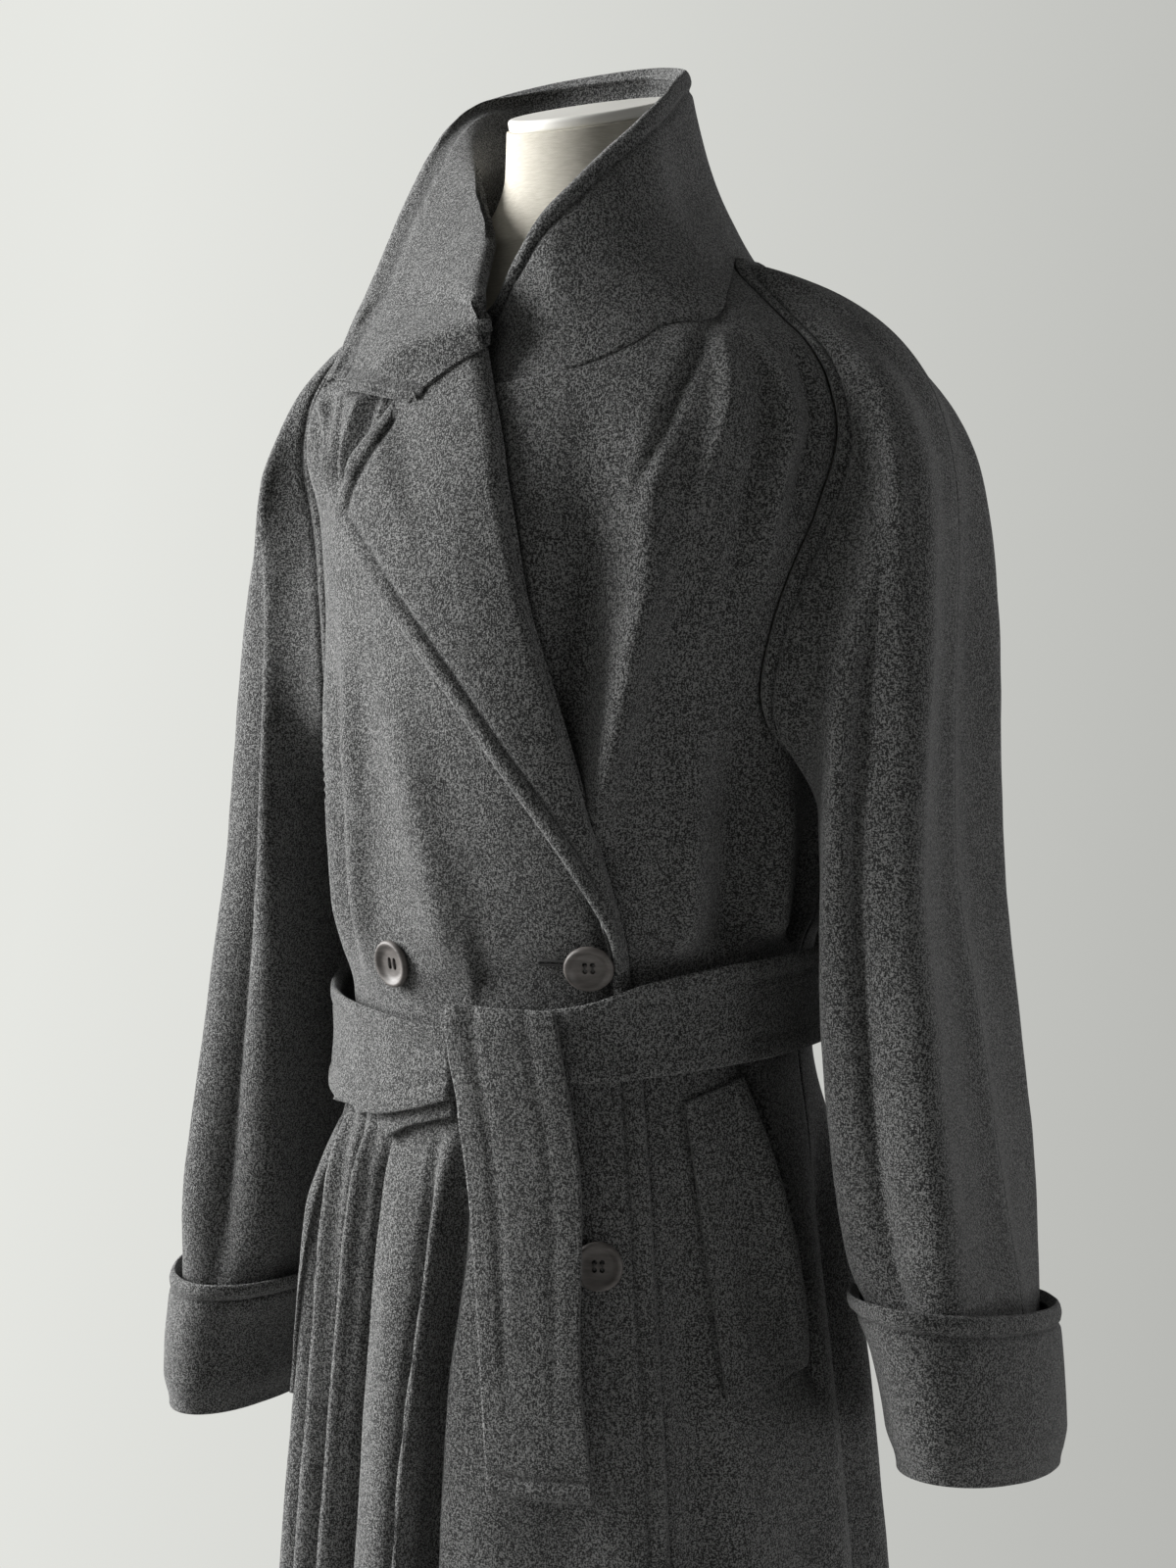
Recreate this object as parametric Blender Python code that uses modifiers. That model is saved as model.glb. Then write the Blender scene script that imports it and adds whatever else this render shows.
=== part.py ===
"""Double-breasted wool coat with raglan sleeves and a tie belt, shown on a limbless dress form.

Metres, +Z up. The coat's front faces -Y and the wearer's left is +X. The origin is the centre
of the underside of the stand's base. Angles round the body are in degrees from the front,
growing towards the wearer's left, and "out" is a distance outwards from the body's surface.
"""
import math

import bmesh
import bpy
from mathutils import Matrix, Vector

COLLECTION = "double_breasted_coat"
CUTTERS = "double_breasted_coat_cutters"

# Cloth
CLOTH = 0.0026
DOUBLE_CLOTH = 0.0042
SEAM_GAP = 0.0006
LAYER_OUT = 0.0046
HIDDEN_DEPTH = 0.013
SIDE_GAP_ANGLE = 0.30
HALF_GAP = 0.010

# Heights
HEM = 0.270
UNDERARM = 1.190
NECK_SIDE = 1.474
GORGE = 1.420
WAIST = 1.045
WAIST_REACH = 0.085

# Lapel, belt, pockets, buttons
LAPEL_OUT = 0.0115
LAPEL_LIFT = 0.006
BELT_OUT = 0.0157
BELT_THICK = 0.0048
TAIL_OUT = 0.0211
POCKET_OUT = 0.0050
RIGHT_POCKET_OUT = 0.0016
BUTTON_STEPS = 22
HOLE_SIDES = 6
HOLE_RADIUS = 0.0010
HOLE_SPACING = 0.0043

# Dress form and stand
NECK_RADIUS = 0.0480
NECK_CENTRE = 0.0015
NECK_TOP = 1.559
NECK_TILT = 0.29
NECK_TILT_FROM = 1.500
NECK_LEAN_FROM = 1.480
NECK_LEAN_REACH = 0.045
NECK_TABLE_FROM = 1.479
CAP_THICK = 0.0070
TORSO_BOTTOM = 0.800
POLE_RADIUS = 0.0125

# Body of the coat: height, half_width, half_depth, centre_x
SECTIONS = (
    (0.270, 0.222, 0.182, 0.000),
    (0.500, 0.200, 0.166, -0.002),
    (0.680, 0.182, 0.151, -0.004),
    (0.830, 0.167, 0.139, -0.005),
    (0.965, 0.150, 0.126, -0.006),
    (1.010, 0.1405, 0.1190, -0.005),
    (1.045, 0.1380, 0.1170, -0.004),
    (1.078, 0.1405, 0.1195, -0.003),
    (1.100, 0.1460, 0.1250, -0.001),
    (1.150, 0.151, 0.131, 0.001),
    (1.220, 0.157, 0.134, 0.003),
    (1.280, 0.162, 0.135, 0.004),
    (1.340, 0.171, 0.130, 0.005),
    (1.380, 0.179, 0.120, 0.005),
    (1.404, 0.174, 0.112, 0.004),
    (1.423, 0.161, 0.105, 0.003),
    (1.440, 0.140, 0.098, 0.002),
    (1.472, 0.1010, 0.086, 0.000),
    (1.500, 0.0850, 0.078, 0.000),
)

# Front raglan seam: height, angle
FRONT_SEAM = (
    (1.190, 90.0),
    (1.205, 74.0),
    (1.222, 62.0),
    (1.242, 59.4),
    (1.279, 61.6),
    (1.311, 65.2),
    (1.334, 68.3),
    (1.359, 69.6),
    (1.404, 68.3),
    (1.440, 71.0),
    (1.474, 80.0),
)

# Back raglan seam: height, angle
BACK_SEAM = (
    (1.190, 90.0),
    (1.205, 104.0),
    (1.225, 114.0),
    (1.260, 117.0),
    (1.310, 115.0),
    (1.360, 113.0),
    (1.404, 112.0),
    (1.440, 109.0),
    (1.474, 100.0),
)

# Neckline of the left front: angle, height
LEFT_NECKLINE = (
    (-40.0, 1.394),
    (-15.0, 1.399),
    (0.0, 1.403),
    (16.0, 1.412),
    (27.4, 1.424),
    (36.0, 1.434),
    (48.0, 1.4375),
    (61.0, 1.4535),
    (80.0, 1.474),
)

# Neckline of the right front, with angles counted towards the wearer's right: angle, height
RIGHT_NECKLINE = (
    (2.6, 1.420),
    (20.0, 1.425),
    (36.0, 1.434),
    (48.0, 1.4385),
    (61.0, 1.4535),
    (80.0, 1.474),
)

# Back neckline: angle, height
BACK_NECKLINE = (
    (100.0, 1.474),
    (130.0, 1.481),
    (180.0, 1.485),
    (230.0, 1.481),
    (260.0, 1.474),
)

# Front edge of the right front, then its roll line: height, angle
FRONT_EDGE = (
    (0.270, 41.5),
    (0.760, 40.8),
    (0.960, 39.6),
    (1.040, 38.4),
    (1.078, 35.8),
    (1.124, 31.0),
    (1.178, 24.5),
    (1.235, 17.6),
    (1.285, 11.7),
    (1.337, 6.9),
    (1.390, 1.6),
    (1.420, -2.6),
)

# Lapel from its foot to its top: share, roll_height, roll_angle, edge_height, edge_angle
LAPEL = (
    (0.00, 1.0880, 34.2, 1.0875, 31.6),
    (0.10, 1.124, 31.0, 1.106, 29.6),
    (0.25, 1.178, 24.5, 1.145, 21.4),
    (0.45, 1.255, 15.2, 1.196, 8.2),
    (0.65, 1.325, 7.8, 1.2446, -4.8),
    (0.82, 1.380, 2.6, 1.290, -18.5),
    (1.00, 1.417, -2.4, 1.338, -31.0),
)

# Folds of the body, ridges with a plus and troughs with a minus depth:
# low_height, low_angle, high_height, high_angle, width, depth, low_fade, high_fade
FOLDS = (
    # Skirt, right front
    (0.20, -74.0, 1.005, -71.0, 6.0, -0.009, 0.0, 0.14),
    (0.20, -59.0, 1.005, -50.0, 5.0, 0.013, 0.0, 0.10),
    (0.20, -49.5, 1.005, -42.5, 4.2, -0.010, 0.0, 0.12),
    (0.20, -42.5, 1.005, -34.5, 4.0, 0.012, 0.0, 0.09),
    (0.20, -31.0, 1.005, -29.2, 3.5, 0.006, 0.0, 0.12),
    (0.20, -17.0, 1.005, -13.0, 5.2, 0.013, 0.0, 0.12),
    (0.20, -10.5, 1.005, -5.5, 3.8, -0.015, 0.0, 0.22),
    (0.20, 6.0, 1.005, 5.0, 9.0, 0.003, 0.0, 0.30),
    (0.20, 24.0, 1.005, 22.0, 7.0, -0.004, 0.0, 0.30),
    # Skirt, left front
    (0.20, 49.0, 1.005, 46.0, 5.0, -0.007, 0.0, 0.20),
    (0.20, 60.0, 0.86, 58.0, 7.0, 0.008, 0.0, 0.50),
    (0.20, 72.0, 0.86, 71.0, 6.0, -0.008, 0.0, 0.50),
    (0.20, 84.0, 1.005, 83.0, 6.0, 0.005, 0.0, 0.14),
    # Skirt, back
    (0.20, 99.0, 1.005, 96.0, 6.0, -0.011, 0.0, 0.14),
    (0.20, 112.0, 1.005, 107.0, 6.5, 0.011, 0.0, 0.10),
    (0.20, 126.0, 1.005, 124.0, 6.0, -0.010, 0.0, 0.20),
    (0.20, 141.0, 1.005, 139.0, 6.5, 0.014, 0.0, 0.11),
    (0.20, 157.0, 1.005, 155.0, 6.0, -0.012, 0.0, 0.13),
    (0.20, 172.0, 1.005, 171.0, 7.0, 0.009, 0.0, 0.25),
    (0.20, 187.0, 1.005, 186.0, 6.0, -0.009, 0.0, 0.16),
    (0.20, 201.0, 1.005, 202.0, 6.5, 0.013, 0.0, 0.10),
    (0.20, 216.0, 1.005, 218.0, 6.0, -0.011, 0.0, 0.14),
    (0.20, 231.0, 1.005, 234.0, 6.5, 0.011, 0.0, 0.22),
    (0.20, 247.0, 1.005, 250.0, 6.0, -0.010, 0.0, 0.12),
    (0.20, 259.0, 1.005, 262.0, 5.5, 0.006, 0.0, 0.12),
    (0.20, 274.0, 1.005, 276.0, 5.0, 0.004, 0.0, 0.16),
    # Above the belt, right front
    (1.078, -80.0, 1.20, -79.0, 5.0, 0.006, 0.30, 0.50),
    (1.078, -68.0, 1.24, -66.0, 5.0, -0.007, 0.25, 0.50),
    (1.078, -54.0, 1.30, -52.0, 5.0, 0.007, 0.20, 0.50),
    (1.078, -43.0, 1.28, -44.5, 4.5, -0.006, 0.20, 0.50),
    (1.078, -33.5, 1.30, -36.5, 4.5, 0.008, 0.20, 0.50),
    (1.085, -4.0, 1.27, -23.0, 6.0, 0.006, 0.20, 0.50),
    (1.330, -57.0, 1.43, -52.0, 4.0, 0.005, 0.40, 0.40),
    (1.310, -49.0, 1.42, -45.0, 3.5, -0.005, 0.40, 0.40),
    # Above the belt, left front
    (1.170, 25.0, 1.41, 34.5, 5.0, 0.013, 0.30, 0.40),
    (1.130, 18.5, 1.39, 18.5, 6.0, -0.012, 0.20, 0.45),
    (1.078, 47.5, 1.27, 46.5, 4.0, -0.007, 0.20, 0.50),
    (1.078, 55.0, 1.22, 54.0, 4.5, 0.006, 0.20, 0.50),
    (1.078, 69.0, 1.21, 66.0, 5.0, 0.009, 0.20, 0.50),
    (1.078, 80.0, 1.18, 79.0, 4.5, -0.006, 0.25, 0.50),
    (1.290, 40.0, 1.45, 52.5, 4.0, 0.006, 0.40, 0.30),
    (1.280, 57.0, 1.43, 57.5, 4.0, 0.006, 0.40, 0.40),
    (1.270, 50.0, 1.43, 55.0, 3.5, -0.005, 0.40, 0.30),
    # Above the belt, back
    (1.078, 101.0, 1.20, 100.0, 5.0, 0.008, 0.25, 0.50),
    (1.078, 118.0, 1.26, 121.0, 5.5, -0.008, 0.20, 0.50),
    (1.078, 134.0, 1.32, 137.0, 6.0, 0.010, 0.18, 0.50),
    (1.078, 152.0, 1.27, 153.0, 6.0, -0.008, 0.20, 0.50),
    (1.078, 170.0, 1.34, 169.0, 7.0, 0.008, 0.20, 0.50),
    (1.078, 191.0, 1.25, 190.0, 6.0, -0.007, 0.20, 0.50),
    (1.078, 208.0, 1.33, 206.0, 6.0, 0.010, 0.18, 0.50),
    (1.078, 228.0, 1.26, 226.0, 5.5, -0.008, 0.20, 0.50),
    (1.078, 246.0, 1.22, 245.0, 5.5, 0.008, 0.20, 0.50),
    (1.078, 261.0, 1.18, 261.0, 5.0, -0.006, 0.25, 0.50),
)

# Columns of the fronts, closer where the folds are: share of the columns, share of the width
LEFT_COLUMNS = (
    (0.00, 0.00),
    (0.18, 0.34),
    (1.00, 1.00),
)
RIGHT_COLUMNS = (
    (0.00, 0.00),
    (0.17, 0.20),
    (0.77, 0.68),
    (1.00, 1.00),
)

# Rows of the body panels: share, height at the shoulder side
BODY_ROWS = (
    (0.00, 0.270),
    (0.20, 0.780),
    (0.40, 0.995),
    (0.50, 1.085),
    (0.60, 1.190),
    (0.80, 1.355),
    (1.00, 1.474),
)
BODY_ROW_COUNT = 20
SEAM_ROW_COUNT = 8

# Raglan seam from the underarm to the neck: height, share of the half sleeve
SEAM_SHARES = (
    (1.190, 1.00),
    (1.205, 0.91),
    (1.222, 0.83),
    (1.242, 0.76),
    (1.279, 0.66),
    (1.311, 0.57),
    (1.334, 0.50),
    (1.359, 0.43),
    (1.380, 0.37),
    (1.404, 0.31),
    (1.423, 0.25),
    (1.440, 0.17),
    (1.474, 0.06),
)
SLEEVE_COLUMNS = SEAM_ROW_COUNT + 1
SLEEVE_ROWS = 17

# Left sleeve below the shoulder: height, centre_x, centre_y, half_width, half_depth
SLEEVE_RINGS = (
    (0.820, 0.2465, 0.000, 0.0345, 0.0745),
    (0.870, 0.2390, 0.000, 0.0350, 0.0750),
    (0.930, 0.2215, 0.003, 0.0430, 0.0805),
    (1.050, 0.2035, 0.005, 0.0410, 0.0850),
    (1.150, 0.1935, 0.007, 0.0340, 0.0870),
    (1.300, 0.1890, 0.009, 0.0365, 0.0800),
)
RIGHT_DROP = 0.045
RIGHT_DROP_FROM = 1.060
RIGHT_DROP_TO = 0.860
RIGHT_NARROWER = (
    (0.900, 0.0020),
    (0.970, 0.0095),
    (1.050, 0.0160),
    (1.150, 0.0170),
    (1.250, 0.0225),
    (1.300, 0.0240),
)
RIGHT_SHOULDER = 0.80
LEFT_TILT = 0.20
LEFT_TILT_FROM = 1.020
LEFT_TILT_REACH = 0.120
SHOULDER_SHARE = 0.36
RING_OUTER = 1.300
RING_INNER = 1.150
OVER_ARM_ROUND = 0.05

# How the sleeve leaves its seam: share, out_x, out_y, out_z, pull_down
SLEEVE_START = (
    (0.00, 0.275, 0.000, -0.075, 0.330),
    (0.17, 0.210, -0.030, -0.070, 0.270),
    (0.31, 0.150, -0.035, -0.110, 0.200),
    (0.50, 0.085, -0.030, -0.120, 0.150),
    (0.66, 0.060, -0.022, -0.080, 0.100),
    (0.83, 0.035, -0.004, -0.050, 0.070),
    (1.00, 0.002, 0.000, -0.040, 0.045),
)

# Folds of each half sleeve: start_share, start_along, end_share, end_along, width, depth
SLEEVE_FOLDS = (
    (0.10, 0.22, 0.11, 0.75, 0.045, 0.006),
    (0.18, 0.25, 0.17, 0.95, 0.040, -0.005),
    (0.27, 0.20, 0.27, 1.10, 0.045, 0.006),
    (0.42, 0.30, 0.38, 0.90, 0.045, -0.006),
    (0.55, 0.18, 0.50, 0.80, 0.050, 0.005),
)

# Cuffs: heights of the fold at the bottom and of the open top
CUFFS = {
    "left": {"bottom": 0.811, "top": 0.903},
    "right": {"bottom": 0.776, "top": 0.865},
}
CUFF_FLARE = 0.0035
CUFF_GAP = 0.0011
CUFF_ROLL = 0.0045
CUFF_ROLL_SHARE = 0.25

# Collar from its right end round the back to its left end, with negative angles because it
# runs that way round: angle, out, roll_x, roll_y, roll_z, edge_x, edge_y, edge_z
COLLAR = (
    (-15.5, 0.0120, -0.078, -0.113, 1.400, -0.119, -0.094, 1.404),
    (-9.0, 0.0125, -0.060, -0.114, 1.420, -0.1145, -0.079, 1.431),
    (-3.0, 0.0125, -0.031, -0.117, 1.438, -0.112, -0.058, 1.463),
    (-14.0, 0.0020, -0.0075, -0.1105, 1.453, -0.111, -0.036, 1.494),
    (-30.0, 0.0005, -0.016, -0.082, 1.482, -0.108, -0.008, 1.5345),
    (-52.0, 0.0005, -0.040, -0.053, 1.507, -0.104, 0.018, 1.5655),
    (-84.0, 0.0015, -0.064, -0.018, 1.530, -0.097, 0.040, 1.5820),
    (-118.0, 0.0005, -0.074, 0.034, 1.543, -0.082, 0.057, 1.5915),
    (-150.0, 0.0005, -0.045, 0.067, 1.547, -0.050, 0.071, 1.5990),
    (-180.0, 0.0005, 0.000, 0.077, 1.546, -0.002, 0.073, 1.6015),
    (-214.0, 0.0005, 0.0415, 0.064, 1.540, 0.0345, 0.050, 1.5945),
    (-248.0, 0.0005, 0.0625, 0.029, 1.528, 0.0548, 0.010, 1.5820),
    (-276.0, 0.0015, 0.0660, -0.011, 1.512, 0.0578, -0.020, 1.5640),
    (-299.0, 0.0005, 0.074, -0.044, 1.492, 0.0550, -0.042, 1.5495),
    (-315.0, 0.0005, 0.068, -0.074, 1.472, 0.0440, -0.062, 1.5310),
    (-330.0, 0.0005, 0.050, -0.091, 1.458, 0.0325, -0.080, 1.5115),
    (-344.0, 0.0005, 0.031, -0.1010, 1.442, 0.0175, -0.0915, 1.4920),
    (-356.0, -0.0030, 0.010, -0.0990, 1.430, 0.005, -0.0945, 1.471),
    (-370.0, -0.0130, -0.014, -0.0900, 1.420, -0.012, -0.0875, 1.449),
    (-381.0, -0.0140, -0.034, -0.0850, 1.418, -0.030, -0.0800, 1.440),
)
COLLAR_GORGE = ((-15.5, 1.3935), (-9.0, 1.4090), (-3.0, 1.4235))
COLLAR_STEPS_ON_LAPEL = 2.0
COLLAR_ROLL_SHARE = 0.42
COLLAR_SOFTEN = 0.10
COLLAR_SEAM_RISE = 0.0015
COLLAR_SHOULDER_RISE = 0.0028
COLLAR_SHOULDER_ANGLE = 82.0
COLLAR_SHOULDER_REACH = 12.0

# Belt's band from under the hanging end round the back: angle, middle_height, half_height
BELT = (
    (11.0, 1.0480, 0.0170),
    (25.0, 1.0500, 0.0215),
    (40.0, 1.0580, 0.0262),
    (60.0, 1.0640, 0.0280),
    (85.0, 1.0660, 0.0280),
    (130.0, 1.0590, 0.0280),
    (180.0, 1.0500, 0.0280),
    (230.0, 1.0400, 0.0280),
    (275.0, 1.0320, 0.0290),
    (310.0, 1.0260, 0.0310),
    (332.0, 1.0260, 0.0300),
    (345.0, 1.0290, 0.0250),
    (356.0, 1.0340, 0.0200),
)

# Hanging end of the belt: height, left_x, right_x, out beyond the belt
TAIL = (
    (0.8050, 0.0195, 0.0720, -0.0030),
    (0.8800, 0.0120, 0.0660, -0.0030),
    (0.9600, 0.0030, 0.0590, -0.0025),
    (1.0150, -0.0060, 0.0510, 0.0015),
    (1.0450, -0.0110, 0.0460, 0.0030),
    (1.0620, -0.0120, 0.0440, 0.0024),
    (1.0690, -0.0120, 0.0430, 0.0000),
)

# Short end of the belt behind the band: share across, angle, bottom_height
SHORT_END = (
    (0.0, -28.0, 0.9935),
    (0.25, -25.0, 0.9815),
    (0.6, -15.0, 0.9880),
    (1.0, -4.0, 1.0000),
)
SHORT_END_TOP = 1.0300
SHORT_END_OUT = 0.0100
SHORT_END_THICK = 0.0028

# Pocket: corner angles and heights, from the top front corner round to the top side corner
POCKET_TOP_FRONT = (48.5, 1.0150)
POCKET_BOTTOM_FRONT = (54.0, 0.8520)
POCKET_BOTTOM_SIDE = (76.0, 0.8620)
POCKET_TOP_SIDE = (64.5, 1.0260)
POCKET_GAPE = 0.012
RIGHT_POCKET_DROP = 0.042

# Buttons: name, angle, height, room behind
BUTTONS = (
    ("button_upper_left", 25.6, 1.0930, 0.0030),
    ("button_upper_right", -23.0, 1.0840, -0.0006),
    ("button_lower_left", 25.5, 0.9280, 0.0005),
)

# Room between the coat's outer surface and the form: height, at the sides, front and back
FORM_ROOM = (
    (0.800, 0.0340, 0.0340),
    (1.045, 0.0300, 0.0300),
    (1.280, 0.0300, 0.0300),
    (1.370, 0.0300, 0.0300),
    (1.410, 0.0200, 0.0280),
    (1.432, 0.0028, 0.0250),
    (1.445, -0.0004, 0.0230),
    (1.460, 0.0004, 0.0230),
    (1.474, 0.0050, 0.0240),
)

# Neck of the form above the shoulders: height, half_width, half_depth
FORM_NECK = (
    (1.487, 0.0740, 0.0590),
    (1.497, 0.0630, 0.0550),
    (1.511, 0.0540, 0.0510),
    (1.530, 0.0490, 0.0490),
    (1.559, 0.0480, 0.0480),
)

# Rings of the form's torso from below: height, share of the section's size
TORSO_RINGS = (
    (0.8000, 0.55), (0.8030, 0.80), (0.8120, 0.93), (0.8300, 1.0), (0.8700, 1.0), (0.9200, 1.0),
    (0.9700, 1.0), (1.0200, 1.0), (1.0700, 1.0), (1.1200, 1.0), (1.1700, 1.0), (1.2200, 1.0),
    (1.2700, 1.0), (1.3200, 1.0), (1.3600, 1.0), (1.3900, 1.0), (1.4150, 1.0), (1.4320, 1.0),
    (1.4450, 1.0), (1.4600, 1.0), (1.4740, 1.0), (1.4870, 1.0), (1.4970, 1.0), (1.5110, 1.0),
    (1.5300, 1.0), (1.5590, 1.0),
)

# Base profile, from the middle of its top outwards and round to the middle of its underside
BASE_PROFILE = (
    (0.0000, 0.0240),
    (0.0200, 0.0240),
    (0.0240, 0.0200),
    (0.0260, 0.0140),
    (0.1840, 0.0110),
    (0.1890, 0.0085),
    (0.1900, 0.0050),
    (0.1890, 0.0000),
    (0.0000, 0.0000),
)

# Button profile, from the middle of the front outwards and round to the back: radius, height
BUTTON_PROFILE = (
    (0.0000, 0.0024),
    (0.0070, 0.0024),
    (0.0094, 0.0032),
    (0.0112, 0.0044),
    (0.0128, 0.0042),
    (0.0136, 0.0026),
    (0.0128, 0.0010),
    (0.0090, 0.0000),
    (0.0000, 0.0000),
)

# Colours: red, green, blue
WOOL = (0.105, 0.105, 0.103)
HORN = (0.060, 0.052, 0.048)
LINEN = (0.700, 0.660, 0.570)
CAP = (0.780, 0.760, 0.710)
STEEL = (0.550, 0.550, 0.550)
ENAMEL = (0.800, 0.790, 0.770)


def clear_scene():
    """Remove every object that the file holds."""
    for obj in list(bpy.data.objects):
        bpy.data.objects.remove(obj, do_unlink=True)


def make_collection(name):
    """Return a collection of this name, linked to the scene."""
    collection = bpy.data.collections.new(name)
    bpy.context.scene.collection.children.link(collection)
    return collection


def make_material(name, colour, roughness, metallic=0.0):
    """Return a Principled material."""
    material = bpy.data.materials.new(name)
    material.use_nodes = True
    shader = material.node_tree.nodes["Principled BSDF"]
    shader.inputs["Base Color"].default_value = (*colour, 1.0)
    shader.inputs["Roughness"].default_value = roughness
    shader.inputs["Metallic"].default_value = metallic
    material.diffuse_color = (*colour, 1.0)
    return material


def ease(value):
    """Return a smooth step of a value clamped to 0..1."""
    value = min(1.0, max(0.0, value))
    return value * value * (3.0 - 2.0 * value)


def mix(low, high, share):
    """Return the value a share of the way from low to high."""
    return low + (high - low) * share


def read(table, where, column=1):
    """Read a column of a table at a place in its first column, with a smooth curve."""
    if where <= table[0][0]:
        return table[0][column]
    if where >= table[-1][0]:
        return table[-1][column]
    row = 0
    while where > table[row + 1][0]:
        row += 1
    left, right = table[row], table[row + 1]
    width = right[0] - left[0]
    slope = (right[column] - left[column]) / width
    left_slope = slope
    if row > 0:
        before = table[row - 1]
        left_slope = calm(slope, (left[column] - before[column]) / (left[0] - before[0]))
    right_slope = slope
    if row + 2 < len(table):
        after = table[row + 2]
        right_slope = calm(slope, (after[column] - right[column]) / (after[0] - right[0]))
    share = (where - left[0]) / width
    square = share * share
    cube = square * share
    value = left[column] * (2 * cube - 3 * square + 1)
    value += right[column] * (3 * square - 2 * cube)
    value += left_slope * width * (cube - 2 * square + share)
    value += right_slope * width * (cube - square)
    return value


def calm(first, second):
    """Return a slope between two that never overshoots the table."""
    if first * second <= 0.0:
        return 0.0
    return 2.0 * first * second / (first + second)


def angle_apart(first, second):
    """Return the difference of two angles between -180 and 180 degrees."""
    return (first - second + 180.0) % 360.0 - 180.0


def fold_depth(angle, height):
    """Return how far the folds move the body's surface outwards."""
    total = 0.0
    for low_z, low_angle, high_z, high_angle, width, depth, low_fade, high_fade in FOLDS:
        share = (height - low_z) / (high_z - low_z)
        if not 0.0 < share < 1.0:
            continue
        apart = angle_apart(angle, mix(low_angle, high_angle, share)) / width
        if abs(apart) > 3.0:
            continue
        fade = 1.0
        if low_fade > 0.0:
            fade *= ease(share / low_fade)
        if high_fade > 0.0:
            fade *= ease((1.0 - share) / high_fade)
        total += depth * fade * math.exp(-apart * apart)
    return total


def waist_level(angle, height):
    """Return the height to read the sections at, because the waist follows the belt's slope."""
    near = (height - WAIST) / WAIST_REACH
    slope = read(BELT, angle % 360.0, 1) - WAIST
    return height - slope * math.exp(-near * near)


def body_point(angle, height, out=0.0, folded=1.0):
    """Return a point on the coat's body, moved outwards along the section's normal."""
    level = waist_level(angle, height)
    half_width = read(SECTIONS, level, 1)
    half_depth = read(SECTIONS, level, 2)
    turn = math.radians(angle)
    sine, cosine = math.sin(turn), math.cos(turn)
    normal = Vector((sine / half_width, -cosine / half_depth, 0.0)).normalized()
    centre_x = read(SECTIONS, level, 3)
    point = Vector((centre_x + half_width * sine, -half_depth * cosine, height))
    return point + normal * (out + folded * fold_depth(angle, level))


def body_normal(angle, height):
    """Return the outward direction of the body's surface."""
    step = 0.5
    rise = 0.003
    along = body_point(angle + step, height) - body_point(angle - step, height)
    up = body_point(angle, height + rise) - body_point(angle, height - rise)
    return along.cross(up).normalized()


def grid_object(name, material, collection, surface, columns, rows):
    """Make a sheet whose points follow a surface of two shares, both from 0 to 1."""
    bm = bmesh.new()
    bmesh.ops.create_grid(bm, x_segments=columns, y_segments=rows, size=0.5)
    for vert in bm.verts:
        vert.co = surface(vert.co.x + 0.5, vert.co.y + 0.5)
    mesh = bpy.data.meshes.new(name)
    bm.to_mesh(mesh)
    bm.free()
    mesh.shade_smooth()
    mesh.materials.append(material)
    obj = bpy.data.objects.new(name, mesh)
    collection.objects.link(obj)
    return obj


def add_wall(obj, thickness):
    """Give a sheet its thickness, inwards from the surface that faces out."""
    wall = obj.modifiers.new("wall", "SOLIDIFY")
    wall.thickness = thickness
    wall.offset = -1.0
    return wall


def close_ring(obj):
    """Join the first and last columns of a sheet that runs all the way round."""
    bm = bmesh.new()
    bm.from_mesh(obj.data)
    bmesh.ops.remove_doubles(bm, verts=bm.verts, dist=0.00001)
    bm.to_mesh(obj.data)
    bm.free()


def turn_faces(obj):
    """Make the sheet face the other way."""
    bm = bmesh.new()
    bm.from_mesh(obj.data)
    bmesh.ops.reverse_faces(bm, faces=bm.faces)
    bm.to_mesh(obj.data)
    bm.free()


def row_height(share, top):
    """Return a body panel's height at a share of its rows, for a column that ends at top."""
    height = read(BODY_ROWS, share)
    full = BODY_ROWS[-1][1]
    return HEM + (height - HEM) * (top - HEM) / (full - HEM)


def left_front(across, share):
    """Left front: across runs from its hidden front edge to the side, share from hem to neck."""
    across = read(LEFT_COLUMNS, across)
    shoulder = row_height(share, NECK_SIDE)
    seam = read(FRONT_SEAM, shoulder) if shoulder > UNDERARM else 90.0
    angle = mix(-40.0, seam, across)
    top_angle = mix(-40.0, 80.0, across)
    height = row_height(share, read(LEFT_NECKLINE, top_angle))
    covered = ease((read(FRONT_EDGE, height) + 1.0 - angle) / 9.0)
    return body_point(angle, height, -HIDDEN_DEPTH * covered, 1.0 - covered)


def right_front(across, share):
    """Right front: across runs from the side to the front edge, share from hem to neck."""
    across = read(RIGHT_COLUMNS, across)
    shoulder = row_height(share, NECK_SIDE)
    seam = read(FRONT_SEAM, shoulder) if shoulder > UNDERARM else 90.0
    edge_height = row_height(share, GORGE)
    edge = read(FRONT_EDGE, edge_height)
    angle = mix(-seam, edge, across)
    top_angle = mix(-80.0, FRONT_EDGE[-1][1], across)
    height = row_height(share, read(RIGHT_NECKLINE, -top_angle))
    return body_point(angle, height, LAYER_OUT * right_layer(angle))


def right_layer(angle):
    """Return how far the right front has risen onto the left front, from 0 to 1."""
    return ease((angle + 62.0) / 16.0)


def back(across, share):
    """Back: across runs from the wearer's left side to the right side."""
    shoulder = row_height(share, NECK_SIDE)
    seam = read(BACK_SEAM, shoulder) if shoulder > UNDERARM else 90.0
    angle = mix(seam, 360.0 - seam, across) + SIDE_GAP_ANGLE * (1.0 - 2.0 * across)
    top_angle = mix(100.0, 260.0, across)
    height = row_height(share, read(BACK_NECKLINE, top_angle))
    return body_point(angle, height)


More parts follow.
